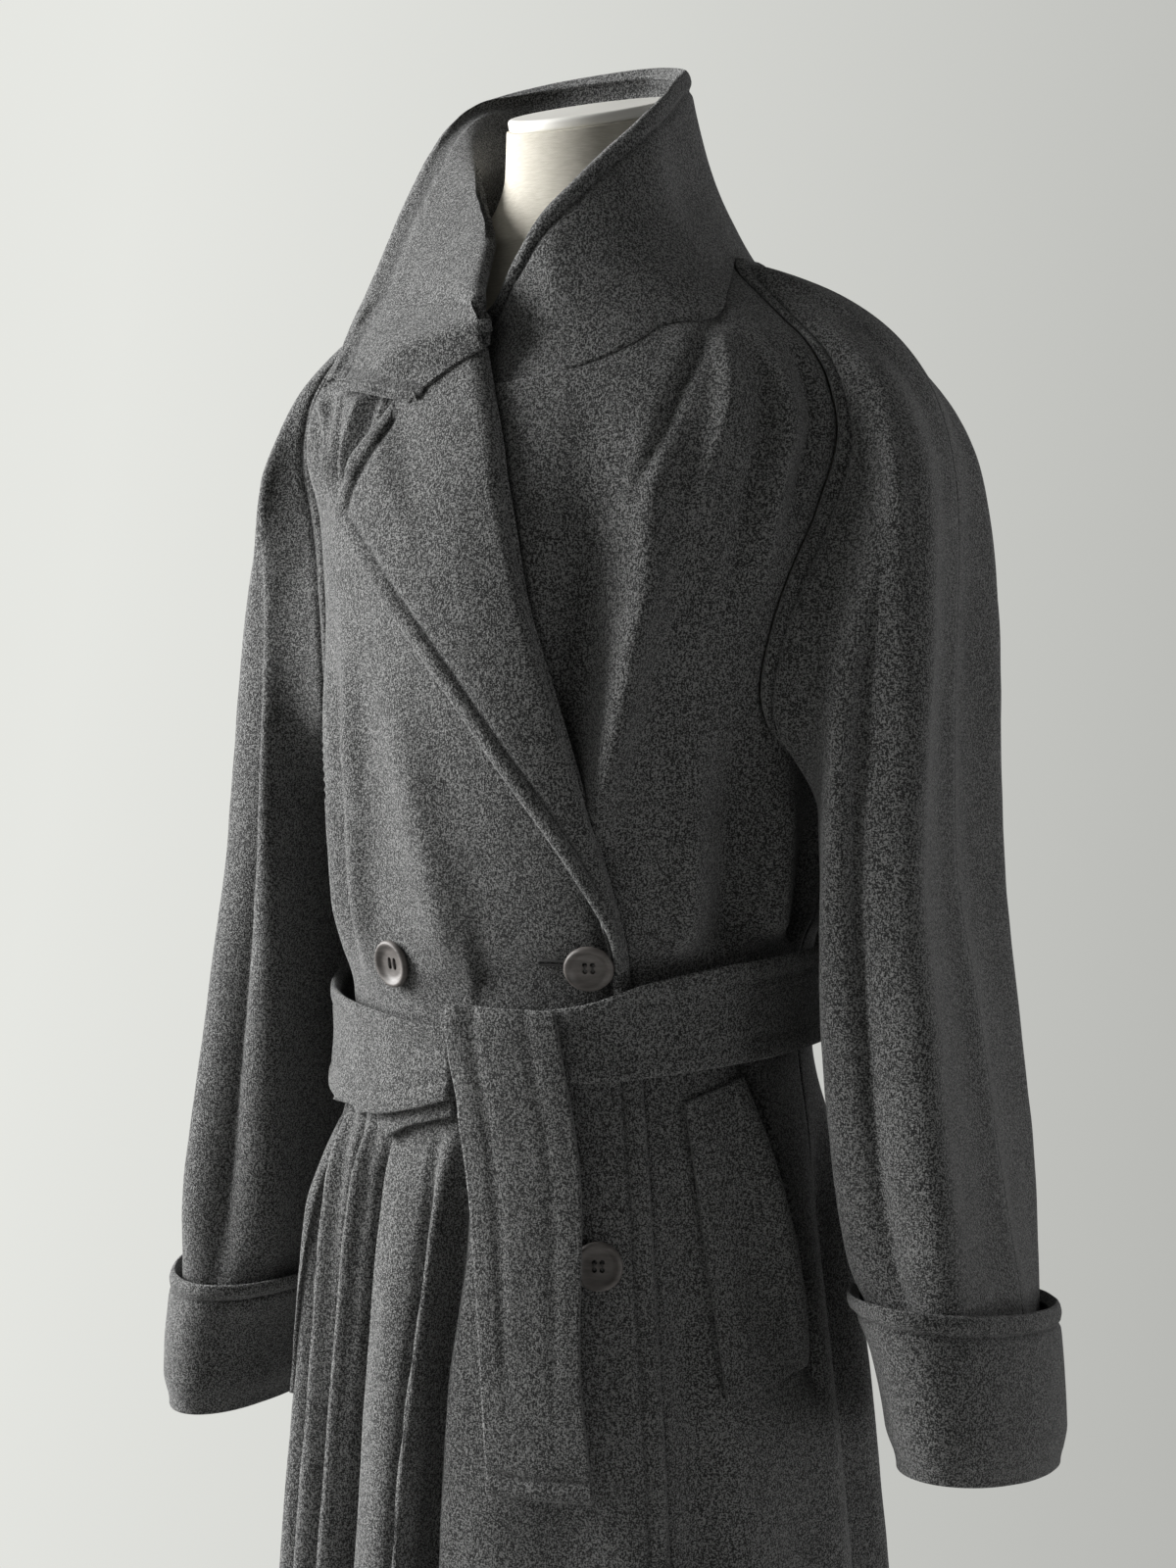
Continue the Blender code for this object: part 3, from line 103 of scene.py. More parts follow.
coat = {
    "hem": 0.27,
    "underarm": 1.19,
    "neckSide": 1.474,
    "gorge": 1.42,
    "waist": 1.045,
    "waistReach": 0.085,
    "sideAngle": 90.0,  # side seam below the underarm
    "layerFrom": -62.0,
    "layerReach": 16.0,
    "coverPast": 1.0,
    "coverReach": 9.0,
    "sections": (  # height, half width, half depth, middle
        (0.27, 0.222, 0.182, 0), (0.5, 0.2, 0.166, -0.002), (0.68, 0.182, 0.151, -0.004),
        (0.83, 0.167, 0.139, -0.005), (0.965, 0.15, 0.126, -0.006), (1.01, 0.1405, 0.119, -0.005),
        (1.045, 0.138, 0.117, -0.004), (1.078, 0.1405, 0.1195, -0.003), (1.1, 0.146, 0.125, -0.001),
        (1.15, 0.151, 0.131, 0.001), (1.22, 0.157, 0.134, 0.003), (1.28, 0.162, 0.135, 0.004),
        (1.34, 0.171, 0.13, 0.005), (1.38, 0.179, 0.12, 0.005), (1.404, 0.174, 0.112, 0.004),
        (1.423, 0.161, 0.105, 0.003), (1.44, 0.14, 0.098, 0.002), (1.472, 0.101, 0.086, 0),
        (1.5, 0.085, 0.078, 0),
    ),
    "frontSeam": (  # height, angle
        (1.19, 90), (1.205, 74), (1.222, 62), (1.242, 59.4), (1.279, 61.6), (1.311, 65.2),
        (1.334, 68.3), (1.359, 69.6), (1.404, 68.3), (1.44, 71), (1.474, 80),
    ),
    "backSeam": (  # height, angle
        (1.19, 90), (1.205, 104), (1.225, 114), (1.26, 117), (1.31, 115), (1.36, 113), (1.404, 112),
        (1.44, 109), (1.474, 100),
    ),
    "leftNeckline": (  # angle, height
        (-40, 1.394), (-15, 1.399), (0, 1.403), (16, 1.412), (27.4, 1.424), (36, 1.434), (48, 1.4375),
        (61, 1.4535), (80, 1.474),
    ),
    "rightNeckline": (  # angle from the front towards the right, height
        (2.6, 1.42), (20, 1.425), (36, 1.434), (48, 1.4385), (61, 1.4535), (80, 1.474),
    ),
    "backNeckline": (  # angle, height
        (100, 1.474), (130, 1.481), (180, 1.485), (230, 1.481), (260, 1.474),
    ),
    "frontEdge": (  # height, angle
        (0.27, 41.5), (0.76, 40.8), (0.96, 39.6), (1.04, 38.4), (1.078, 35.8), (1.124, 31),
        (1.178, 24.5), (1.235, 17.6), (1.285, 11.7), (1.337, 6.9), (1.39, 1.6), (1.42, -2.6),
    ),
    "skirtLow": 0.2,
    "skirtHigh": 1.005,
    "foldReach": 3.0,  # widths past which a fold ends
    "skirtFolds": (  # angle below, angle above, width, depth, fade above
        (-74, -71, 6, -0.009, 0.14), (-59, -52, 4.5, 0.012, 0.1), (-54, -47.5, 1.6, -0.008, 0.12),
        (-19, -17, 5.5, 0.006, 0.2), (6, 5, 9, 0.003, 0.3), (24, 22, 7, -0.004, 0.3),
        (49, 46, 5, -0.007, 0.2), (84, 83, 6, 0.005, 0.14), (99, 96, 6, -0.011, 0.14),
        (112, 107, 6.5, 0.011, 0.1), (126, 124, 6, -0.01, 0.2), (141, 139, 6.5, 0.014, 0.11),
        (157, 155, 6, -0.012, 0.13), (172, 171, 7, 0.009, 0.25), (187, 186, 6, -0.009, 0.16),
        (201, 202, 6.5, 0.013, 0.1), (216, 218, 6, -0.011, 0.14), (231, 234, 6.5, 0.011, 0.22),
        (247, 250, 6, -0.01, 0.12), (259, 262, 5.5, 0.006, 0.12), (274, 276, 5, 0.004, 0.16),
    ),
    "folds": (  # height and angle below, the same above, width, depth, both fades
        (0.2, 60, 0.86, 58, 7, 0.008, 0, 0.5), (0.2, 72, 0.86, 71, 6, -0.008, 0, 0.5),
        (1.078, -80, 1.2, -79, 5, 0.006, 0.3, 0.5), (1.078, -68, 1.24, -66, 5, -0.007, 0.25, 0.5),
        (1.078, -54, 1.3, -52, 5, 0.007, 0.2, 0.5), (1.078, -43, 1.28, -44.5, 4.5, -0.006, 0.2, 0.5),
        (1.078, -33.5, 1.3, -36.5, 4.5, 0.008, 0.2, 0.5), (1.085, -4, 1.27, -23, 6, 0.006, 0.2, 0.5),
        (1.33, -57, 1.43, -52, 4, 0.005, 0.4, 0.4), (1.31, -49, 1.42, -45, 3.5, -0.005, 0.4, 0.4),
        (1.078, 47, 1.24, 45, 3.6, 0.007, 0.12, 0.6), (1.078, 58, 1.26, 54, 4.6, -0.009, 0.12, 0.55),
        (1.078, 71, 1.25, 66, 4.6, 0.011, 0.12, 0.55), (1.078, 83, 1.19, 80, 3.6, -0.007, 0.15, 0.5),
        (1.3, 38.5, 1.44, 47, 2.6, 0.005, 0.45, 0.25), (1.28, 57.5, 1.43, 56, 2.6, 0.006, 0.4, 0.3),
        (1.27, 50, 1.43, 52, 2.4, -0.005, 0.4, 0.25), (1.32, 62.5, 1.43, 62.5, 2, -0.005, 0.4, 0.25),
        (1.078, 101, 1.2, 100, 5, 0.008, 0.25, 0.5), (1.078, 118, 1.26, 121, 5.5, -0.008, 0.2, 0.5),
        (1.078, 134, 1.32, 137, 6, 0.01, 0.18, 0.5), (1.078, 152, 1.27, 153, 6, -0.008, 0.2, 0.5),
        (1.078, 170, 1.34, 169, 7, 0.008, 0.2, 0.5), (1.078, 191, 1.25, 190, 6, -0.007, 0.2, 0.5),
        (1.078, 208, 1.33, 206, 6, 0.01, 0.18, 0.5), (1.078, 228, 1.26, 226, 5.5, -0.008, 0.2, 0.5),
        (1.078, 246, 1.22, 245, 5.5, 0.008, 0.2, 0.5), (1.078, 261, 1.18, 261, 5, -0.006, 0.25, 0.5),
    ),
    "paths": (  # height, angle, width, depth
        ((0.2, -45, 4.2, 0.014), (0.747, -40.5, 2.4, 0.011), (0.961, -44.6, 1.8, 0.008),
         (1.01, -46, 1.8, 0.002)),
        ((0.2, -38, 2.4, -0.014), (0.747, -35.6, 1.5, -0.011), (0.961, -37.5, 1.2, -0.008),
         (1.01, -38, 1.2, -0.002)),
        ((0.2, -33, 3.4, 0.012), (0.747, -31.3, 2, 0.01), (0.961, -31.5, 1.7, 0.008),
         (1.01, -32, 1.7, 0.002)),
        ((0.2, -27, 2.4, -0.014), (0.747, -26, 1.5, -0.012), (0.961, -25.3, 1.2, -0.008),
         (1, -25, 1.2, -0.002)),
        ((0.2, -14.5, 2, -0.006), (0.75, -12.6, 1.2, -0.007), (0.94, -9.6, 1, -0.005),
         (1, -9, 1, -0.001)),
        ((0.2, -11.5, 3, 0.013), (0.755, -10, 1.9, 0.013), (0.942, -6.2, 1.7, 0.008),
         (1, -5.5, 1.7, 0.002)),
        ((0.2, -6.5, 4, -0.018), (0.755, -6.6, 2.2, -0.02), (0.811, -5.8, 2, -0.018),
         (0.859, -5, 1.9, -0.016), (0.942, -1.6, 1.8, -0.009), (1, -1, 1.8, -0.002)),
        ((1.33, 28.5, 1.8, 0), (1.36, 30.4, 1.5, -0.003), (1.394, 34.1, 1.6, -0.0036),
         (1.435, 47.4, 3.2, -0.0026), (1.47, 80, 7, -0.001)),
        ((1.345, -43, 1.7, 0), (1.365, -44, 1.7, 0.005), (1.4, -49, 1.7, 0.004)),
        ((1.34, -38.5, 1.7, 0), (1.362, -39, 1.7, -0.005), (1.4, -41.5, 1.7, -0.004)),
        ((1.34, -34.5, 1.6, 0), (1.362, -34.2, 1.6, 0.005), (1.4, -32, 1.6, 0.004)),
        ((1.345, -30, 1.6, 0), (1.365, -29.7, 1.6, -0.004), (1.4, -27.8, 1.6, -0.004)),
        ((1.35, -27, 1.5, 0), (1.37, -26, 1.5, 0.004), (1.4, -23.5, 1.5, 0.004)),
    ),
    "leftPaths": (  # the same, for the left front alone
        ((0.835, 80, 2, 0), (0.865, 78.5, 2, -0.01), (0.95, 72.5, 2, -0.018), (1.02, 67.5, 1.8, -0.01),
         (1.035, 66.5, 2, 0)),
        ((1.14, 22, 4, 0), (1.18, 26.5, 3.6, 0.009), (1.23, 29.8, 3.8, 0.014), (1.269, 32.1, 4, 0.014),
         (1.3, 33.4, 4.4, 0.011), (1.345, 32, 4.8, 0.007), (1.39, 31, 5, 0)),
        ((1.12, 16, 5, 0), (1.18, 17.5, 5, -0.008), (1.24, 20.5, 5.2, -0.013), (1.3, 21, 5.6, -0.011),
         (1.36, 19, 6, -0.004), (1.41, 18, 6, 0)),
    ),
    "rowHeights": (  # share, height
        (0, 0.27), (0.2, 0.78), (0.4, 0.995), (0.5, 1.085), (0.6, 1.19), (0.8, 1.355), (1, 1.474),
    ),
    "rowCount": 20,
    "leftColumns": ((0, 0), (0.18, 0.34), (1, 1)),
    "rightColumns": ((0, 0), (0.17, 0.2), (0.77, 0.68), (1, 1)),
}
allFolds = [(coat["skirtLow"], low, coat["skirtHigh"], high, width, depth, 0.0, fade)
            for low, high, width, depth, fade in coat["skirtFolds"]] + list(coat["folds"])


def foldDepth(angle, height):
    total = 0.0
    for lowZ, lowAngle, highZ, highAngle, width, depth, lowFade, highFade in allFolds:
        share = (height - lowZ) / (highZ - lowZ)
        if not 0.0 < share < 1.0:
            continue
        apart = angleApart(angle, mix(lowAngle, highAngle, share)) / width
        if abs(apart) > coat["foldReach"]:
            continue
        fade = 1.0
        if lowFade > 0.0:
            fade *= ease(share / lowFade)
        if highFade > 0.0:
            fade *= ease((1.0 - share) / highFade)
        total += depth * fade * bell(apart)
    return total + pathDepth(coat["paths"], angle, height)


def pathDepth(paths, angle, height):
    total = 0.0
    for path in paths:
        if path[0][0] < height < path[-1][0]:
            apart = angleApart(angle, read(path, height, 1)) / read(path, height, 2)
            if abs(apart) < coat["foldReach"]:
                total += read(path, height, 3) * bell(apart)
    return total


def waistLevel(angle, height):  # the waist follows the slant of the belt
    slant = read(tieBelt["band"], angle % 360.0) - coat["waist"]
    return height - slant * bell((height - coat["waist"]) / coat["waistReach"])


def bodyPoint(angle, height, out=0.0, folded=1.0):
    level = waistLevel(angle, height)
    halfWidth, halfDepth, centreX = readRow(coat["sections"], level)
    sine, cosine = math.sin(math.radians(angle)), math.cos(math.radians(angle))
    normal = Vector((sine / halfWidth, -cosine / halfDepth, 0.0)).normalized()
    point = Vector((centreX + halfWidth * sine, -halfDepth * cosine, height))
    return point + normal * (out + folded * foldDepth(angle, level))


def rowHeight(share, top):
    low, full = coat["hem"], coat["rowHeights"][-1][1]
    return low + (read(coat["rowHeights"], share) - low) * (top - low) / (full - low)


def seamAngle(seam, share):
    height = rowHeight(share, coat["neckSide"])
    return read(coat[seam], height) if height > coat["underarm"] else coat["sideAngle"]


def rightLayer(angle):  # the right front lies over the left one
    return cloth["layerOut"] * ease((angle - coat["layerFrom"]) / coat["layerReach"])


def leftFront(across, share):
    across = read(coat["leftColumns"], across)
    neckline = coat["leftNeckline"]
    angle = mix(neckline[0][0], seamAngle("frontSeam", share), across)
    height = rowHeight(share, read(neckline, mix(neckline[0][0], neckline[-1][0], across)))
    covered = read(coat["frontEdge"], height) + coat["coverPast"] - angle
    covered = ease(covered / coat["coverReach"])
    hollow = pathDepth(coat["leftPaths"], angle, height)
    return bodyPoint(angle, height, hollow - cloth["hiddenDepth"] * covered, 1.0 - covered)


def rightFront(across, share):
    across = read(coat["rightColumns"], across)
    neckline = coat["rightNeckline"]
    edge = read(coat["frontEdge"], rowHeight(share, coat["gorge"]))
    angle = mix(-seamAngle("frontSeam", share), edge, across)
    topAngle = mix(-neckline[-1][0], coat["frontEdge"][-1][1], across)
    return bodyPoint(angle, rowHeight(share, read(neckline, -topAngle)), rightLayer(angle))


def back(across, share):
    neckline = coat["backNeckline"]
    seam = seamAngle("backSeam", share)
    angle = mix(seam, 360.0 - seam, across) + cloth["sideGapAngle"] * (1.0 - 2.0 * across)
    top = read(neckline, mix(neckline[0][0], neckline[-1][0], across))
    return bodyPoint(angle, rowHeight(share, top))


lapelFacing = {
    "out": 0.0115,
    "lift": 0.006,
    "notch": 0.4,
    "underCollar": 0.0012,
    "topRise": (  # share across, height
        (0, 0), (0.18, 0.01), (0.34, 0.02), (0.42, 0.028), (0.6, 0.029), (0.75, 0.024), (0.9, 0.014),
        (1, 0.008),
    ),
    "lines": (  # share, height and angle at the roll, then at the edge
        (0, 1.088, 34.2, 1.0875, 31.6), (0.1, 1.124, 31, 1.106, 29.6), (0.25, 1.178, 24.5, 1.145, 21.4),
        (0.45, 1.255, 15.2, 1.196, 8.2), (0.65, 1.325, 7.8, 1.2446, -4.8),
        (0.82, 1.38, 2.6, 1.29, -18.5), (1, 1.417, -2.4, 1.334, -32.5),
    ),
    "topFrom": 0.72,
    "liftOver": 0.5,
    "tuckBefore": 0.1,
    "tuckReach": 0.12,
    "coveredBead": 30.0,  # times as narrow past the notch
    "coveredReach": 0.08,
}


def lapel(across, share):
    rollHeight, rollAngle, edgeHeight, edgeAngle = readRow(lapelFacing["lines"], share)
    nearTop = ease((share - lapelFacing["topFrom"]) / (1.0 - lapelFacing["topFrom"]))
    height = mix(edgeHeight, rollHeight, across) + read(lapelFacing["topRise"], across) * nearTop
    lift = math.sin(0.5 * math.pi * (1.0 - across)) * ease(share / lapelFacing["liftOver"])
    lift *= lapelFacing["lift"]
    tucked = (across - lapelFacing["notch"] + lapelFacing["tuckBefore"]) / lapelFacing["tuckReach"]
    lift -= nearTop * ease(tucked) * (lift + lapelFacing["underCollar"])
    return bodyPoint(mix(edgeAngle, rollAngle, across), height, lapelFacing["out"] + lift)


sleeves = {
    "columns": 9,
    "seamShares": (  # height, share round the arm
        (1.19, 1), (1.205, 0.91), (1.222, 0.83), (1.242, 0.76), (1.279, 0.66), (1.311, 0.57),
        (1.334, 0.5), (1.359, 0.43), (1.38, 0.37), (1.404, 0.31), (1.423, 0.25), (1.44, 0.17),
        (1.474, 0.06),
    ),
    "rings": (  # height, centre x and y, half width, half depth
        (0.82, 0.2465, 0, 0.0345, 0.0745), (0.87, 0.239, 0, 0.035, 0.075),
        (0.93, 0.2215, 0.003, 0.043, 0.0805), (1.05, 0.2035, 0.005, 0.041, 0.085),
        (1.15, 0.1935, 0.007, 0.034, 0.087), (1.3, 0.189, 0.009, 0.0365, 0.08),
    ),
    "rightDrop": 0.045,
    "rightDropFrom": 1.06,
    "rightDropTo": 0.86,
    "rightNarrower": (  # height, width less
        (0.9, 0.002), (0.97, 0.0095), (1.05, 0.016), (1.15, 0.017), (1.25, 0.0225), (1.3, 0.024),
    ),
    "rightShoulder": 0.8,
    "leftTilt": 0.2,
    "leftTiltFrom": 1.02,
    "leftTiltReach": 0.12,
    "start": (  # share, direction from the seam, pull of the arm
        (0, 0.275, 0, -0.075, 0.33), (0.17, 0.21, -0.03, -0.07, 0.27), (0.31, 0.15, -0.035, -0.11, 0.2),
        (0.5, 0.085, -0.03, -0.12, 0.15), (0.66, 0.06, -0.022, -0.08, 0.1),
        (0.83, 0.035, -0.004, -0.05, 0.07), (1, 0.002, 0, -0.04, 0.045),
    ),
    "folds": (  # share and place at the start, at the end, width, depth
        (0.19, 0.1, 0.4, 1.2, 0.085, 0.014), (0.36, 0.16, 0.6, 1.15, 0.09, -0.009),
        (0.02, 0.2, 0.13, 1.15, 0.08, -0.005), (0.6, 0.34, 0.8, 1.1, 0.07, 0.005),
        (0.3, 0.06, 0.33, 0.5, 0.04, 0.004),
    ),
    "shoulderShare": 0.36,
    "ringOuter": 1.3,
    "ringInner": 1.15,
    "overArmRound": 0.05,
    "step": 0.01,
    "foldFades": (0.3, 0.4, 0.2),
    "leastFold": 0.00001,
}


def seamHeight(column):
    return rowHeight(1.0 - (column - 1.0) / coat["rowCount"], coat["neckSide"])


def seamShare(across):
    column = across * sleeves["columns"]
    if column < 1.0:
        return sleeves["seamShares"][-1][1] * column
    return read(sleeves["seamShares"], seamHeight(column))


def seamPoint(across, side, front):
    seam = coat["frontSeam" if front else "backSeam"]
    column = across * sleeves["columns"]
    if column < 1.0:
        return bodyPoint(side * mix(coat["sideAngle"], seam[-1][1], column), coat["neckSide"])
    height = seamHeight(column)
    return bodyPoint(side * read(seam, height), height)


def sleeveRing(share, height, side, front, grow=0.0):
    level, narrower = height, 0.0
    if side < 0:
        first, last = sleeves["rightDropFrom"], sleeves["rightDropTo"]
        level += sleeves["rightDrop"] * ease((first - height) / (first - last))
        narrower = 0.5 * read(sleeves["rightNarrower"], height)
    centreX, centreY, halfWidth, halfDepth = readRow(sleeves["rings"], level)
    depth = -(halfDepth + grow) if front else halfDepth + grow
    x = centreX - narrower + (halfWidth - narrower + grow) * math.cos(math.pi * share)
    y = centreY + depth * math.sin(math.pi * share)
    if side > 0:
        tilted = ease((sleeves["leftTiltFrom"] - height) / sleeves["leftTiltReach"])
        height -= sleeves["leftTilt"] * y * tilted
    return Vector((side * x, y, height))


cuffs = {
    "ends": {1: (0.811, 0.903), -1: (0.776, 0.865)},  # bottom and top, left 1 and right -1
    "flare": 0.0035,
    "gap": 0.0011,
    "roll": 0.0045,
    "rollShare": 0.25,
    "sleeveInside": 0.002,
}


def sleeveSurface(across, along, side, front):
    share = seamShare(across)
    shoulder = sleeves["shoulderShare"]
    ringHeight = mix(sleeves["ringInner"], sleeves["ringOuter"], 0.5 + 0.5 * math.cos(math.pi * share))
    if along > shoulder:
        low = cuffs["ends"][side][0] + cuffs["sleeveInside"]
        height = mix(ringHeight, low, (along - shoulder) / (1.0 - shoulder))
        return sleeveRing(share, height, side, front)
    end = sleeveRing(share, ringHeight, side, front)
    below = sleeveRing(share, ringHeight - sleeves["step"], side, front)
    x, y, z, pull = readRow(sleeves["start"], share * share / (share + sleeves["overArmRound"]))
    if side < 0:
        x *= -sleeves["rightShoulder"]
    startOut = Vector((x, y if front else -y, z))
    start = seamPoint(across, side, front) + startOut.normalized() * cloth["seamGap"]
    return curve(start, end, startOut, (below - end).normalized() * pull, along / shoulder)


def sleeveFold(share, along):
    total = 0.0
    startFade, endFade, cuffFade = sleeves["foldFades"]
    for startShare, startAlong, endShare, endAlong, width, depth in sleeves["folds"]:
        step = (along - startAlong) / (endAlong - startAlong)
        if 0.0 < step < 1.0:
            fade = ease(step / startFade) * ease((1.0 - step) / endFade)
            fade *= ease((1.0 - along) / cuffFade)
            total += depth * fade * bell((share - mix(startShare, endShare, step)) / width)
    return total


def halfSleeve(across, along, side, front):
    point = sleeveSurface(across, along, side, front)
    depth = sleeveFold(seamShare(across), along)
    if abs(depth) < sleeves["leastFold"]:
        return point
    step = sleeves["step"]
    around = sleeveSurface(min(1.0, across + step), along, side, front)
    around = around - sleeveSurface(max(0.0, across - step), along, side, front)
    down = sleeveSurface(across, min(1.0, along + step), side, front)
    down = down - sleeveSurface(across, max(0.0, along - step), side, front)
    normal = around.cross(down).normalized()
    outward = point - Vector((side * read(sleeves["rings"], point.z), 0.0, point.z))
    return point + normal * (depth if normal.dot(outward) >= 0.0 else -depth)


def cuffSurface(around, share, side):
    half = seamShare(abs(around * 2.0 - 1.0))
    grow = cloth["doubleWall"] + cuffs["gap"] + cuffs["flare"] * ease(share)
    grow += cuffs["roll"] * ease(share / cuffs["rollShare"])
    return sleeveRing(half, mix(*cuffs["ends"][side], share), side, around >= 0.5, grow)


collarLeaf = {
    "lines": (  # angle, out, roll point, edge point
        (-15.5, 0.0084, -0.078, -0.112, 1.4, -0.119, -0.094, 1.404),
        (-9, 0.008, -0.056, -0.115, 1.42, -0.1145, -0.079, 1.431),
        (-1.5, 0.0078, -0.0008, -0.1165, 1.4375, -0.112, -0.058, 1.463),
        (-4.5, 0.007, -0.003, -0.116, 1.4465, -0.1115, -0.047, 1.478),
        (-12, 0.0035, -0.004, -0.1095, 1.4545, -0.111, -0.036, 1.494),
        (-30, 0.0005, -0.01, -0.082, 1.482, -0.108, -0.008, 1.5345),
        (-52, 0.0005, -0.036, -0.053, 1.507, -0.104, 0.018, 1.5655),
        (-84, 0.0015, -0.064, -0.018, 1.53, -0.097, 0.04, 1.582),
        (-118, 0.0005, -0.074, 0.034, 1.543, -0.082, 0.057, 1.5915),
        (-150, 0.0005, -0.045, 0.067, 1.547, -0.05, 0.071, 1.599),
        (-180, 0.0005, 0, 0.077, 1.546, -0.002, 0.073, 1.6015),
        (-214, 0.0005, 0.0415, 0.064, 1.54, 0.0345, 0.05, 1.5945),
        (-248, 0.0005, 0.0625, 0.029, 1.528, 0.0548, 0.01, 1.582),
        (-276, 0.0015, 0.066, -0.011, 1.512, 0.0578, -0.02, 1.564),
        (-299, 0.0005, 0.074, -0.044, 1.492, 0.055, -0.042, 1.5495),
        (-315, 0.0005, 0.068, -0.074, 1.472, 0.044, -0.062, 1.531),
        (-330, 0.0005, 0.05, -0.091, 1.458, 0.0325, -0.08, 1.5115),
        (-344, 0.0005, 0.031, -0.101, 1.442, 0.0175, -0.0915, 1.492),
        (-356, -0.003, 0.01, -0.099, 1.43, 0.005, -0.0945, 1.471),
        (-370, -0.013, -0.014, -0.09, 1.42, -0.012, -0.0875, 1.449),
        (-381, -0.014, -0.034, -0.085, 1.418, -0.03, -0.08, 1.44),
    ),
    "gorgeLine": ((-15.5, 1.3935), (-9, 1.409), (-1.5, 1.4235)),  # angle, height
    "stepsOnLapel": 2.0,
    "rollShare": 0.42,
    "seamRise": -0.0008,
    "soften": 0.12,
    "softenLow": 0.06,
    "leafInset": 0.55,
    "lapelReach": 2.0,
    "softenFrom": 2.5,
    "leafTo": 0.26,
    "leafReach": 0.16,
}


def neckline(angle):
    left, behind, right = (coat[side + "Neckline"] for side in ("left", "back", "right"))
    if angle < left[-1][0] - 360.0:
        return read(left, angle + 360.0)
    if angle < -behind[-1][0] or -behind[0][0] < angle < -right[-1][0]:
        return coat["neckSide"]
    return read(behind if angle < -right[-1][0] else right, -angle)


def collarLine(place):  # angle and height above the seam, roll point and edge point
    lines = collarLeaf["lines"]
    first = min(int(place), len(lines) - 2)
    near = [lines[min(max(first + shift, 0), len(lines) - 1)] for shift in (-1, 0, 1, 2)]
    return [curve(left, right, sharedSlope(left - before, right - left),
                  sharedSlope(right - left, after - right), place - first)
            for before, left, right, after in zip(*near)]


def collar(around, share):
    place = around * (len(collarLeaf["lines"]) - 1)
    angle, out, *points = collarLine(place)
    roll, edge = Vector(points[:3]), Vector(points[3:])
    fromLapel = (place - collarLeaf["stepsOnLapel"]) / collarLeaf["lapelReach"]
    if fromLapel < 0.0:
        height = read(collarLeaf["gorgeLine"], angle)
    else:
        height = mix(collarLeaf["gorgeLine"][-1][1], neckline(angle), ease(fromLapel))
    foot = bodyPoint(angle, height + collarLeaf["seamRise"], out, 0.0)
    rollShare = collarLeaf["rollShare"]
    below = (roll - foot) / rollShare
    above = (edge - roll) / (1.0 - rollShare)
    point = roll + (above if share > rollShare else below) * (share - rollShare)
    softer = ease((place - collarLeaf["softenFrom"]) / collarLeaf["lapelReach"])
    soften = mix(collarLeaf["softenLow"], collarLeaf["soften"], softer)
    rounded = max(0.0, soften - abs(share - rollShare))
    return point + (above - below) * rounded * rounded / (4.0 * soften)


tieBelt = {
    "out": 0.0157,
    "thick": 0.0048,
    "band": (  # angle, middle, half width
        (11, 1.048, 0.017), (25, 1.05, 0.0215), (40, 1.058, 0.0262), (60, 1.064, 0.028),
        (85, 1.066, 0.028), (130, 1.059, 0.028), (180, 1.05, 0.028), (230, 1.04, 0.028),
        (275, 1.032, 0.029), (310, 1.026, 0.031), (332, 1.026, 0.03), (345, 1.029, 0.025),
        (356, 1.034, 0.02),
    ),
    "tailOut": 0.0211,
    "tail": (  # height, left, right, out
        (0.805, 0.0195, 0.072, -0.003), (0.88, 0.012, 0.0622, -0.003), (0.96, 0.003, 0.059, -0.0025),
        (1.015, -0.006, 0.051, 0.0015), (1.045, -0.011, 0.046, 0.003), (1.062, -0.012, 0.044, 0.0024),
        (1.069, -0.012, 0.043, 0),
    ),
    "tailCreases": ((0.26, 0.055, 0.0014), (0.76, 0.045, 0.0009)),  # place, width, depth
    "shortEnd": (  # share, angle, lower edge
        (0, -28, 0.9945), (0.12, -25.5, 0.983), (0.5, -17, 0.993), (1, -4, 1.004),
    ),
    "shortEndTop": 1.03,
    "shortEndOut": 0.01,
    "shortEndThick": 0.0028,
    "creaseFrom": 0.08,
    "creaseReach": 0.3,
}


def belt(around, share):
    angle = mix(tieBelt["band"][0][0], tieBelt["band"][-1][0], around)
    middle, half = readRow(tieBelt["band"], angle)
    return bodyPoint(angle, middle + (share * 2.0 - 1.0) * half, tieBelt["out"])


def tail(across, share):
    height = mix(tieBelt["tail"][0][0], tieBelt["tail"][-1][0], share)
    left, right, out = readRow(tieBelt["tail"], height)
    halfWidth, centreX = read(coat["sections"], height), read(coat["sections"], height, 3)
    creased = ease((share - tieBelt["creaseFrom"]) / tieBelt["creaseReach"])
    for place, width, depth in tieBelt["tailCreases"]:
        out -= depth * bell((across - place) / width) * creased
    angle = math.degrees(math.asin((mix(left, right, across) - centreX) / halfWidth))
    return bodyPoint(angle, height, tieBelt["tailOut"] + out, 0.0)


def shortEnd(across, share):
    angle, low = readRow(tieBelt["shortEnd"], across)
    return bodyPoint(angle, mix(low, tieBelt["shortEndTop"], share), tieBelt["shortEndOut"])


pockets = {
    "out": 0.004,
    "rightOut": -0.0016,
    "corners": (  # bottom front, bottom side, top front, top side
        (54, 0.852), (76, 0.862), (48.5, 1.015), (64.5, 1.026),
    ),
    "gape": 0.014,
    "gapeFrom": 0.45,
    "gapeCurve": 0.8,
    "rightDrop": 0.042,
}


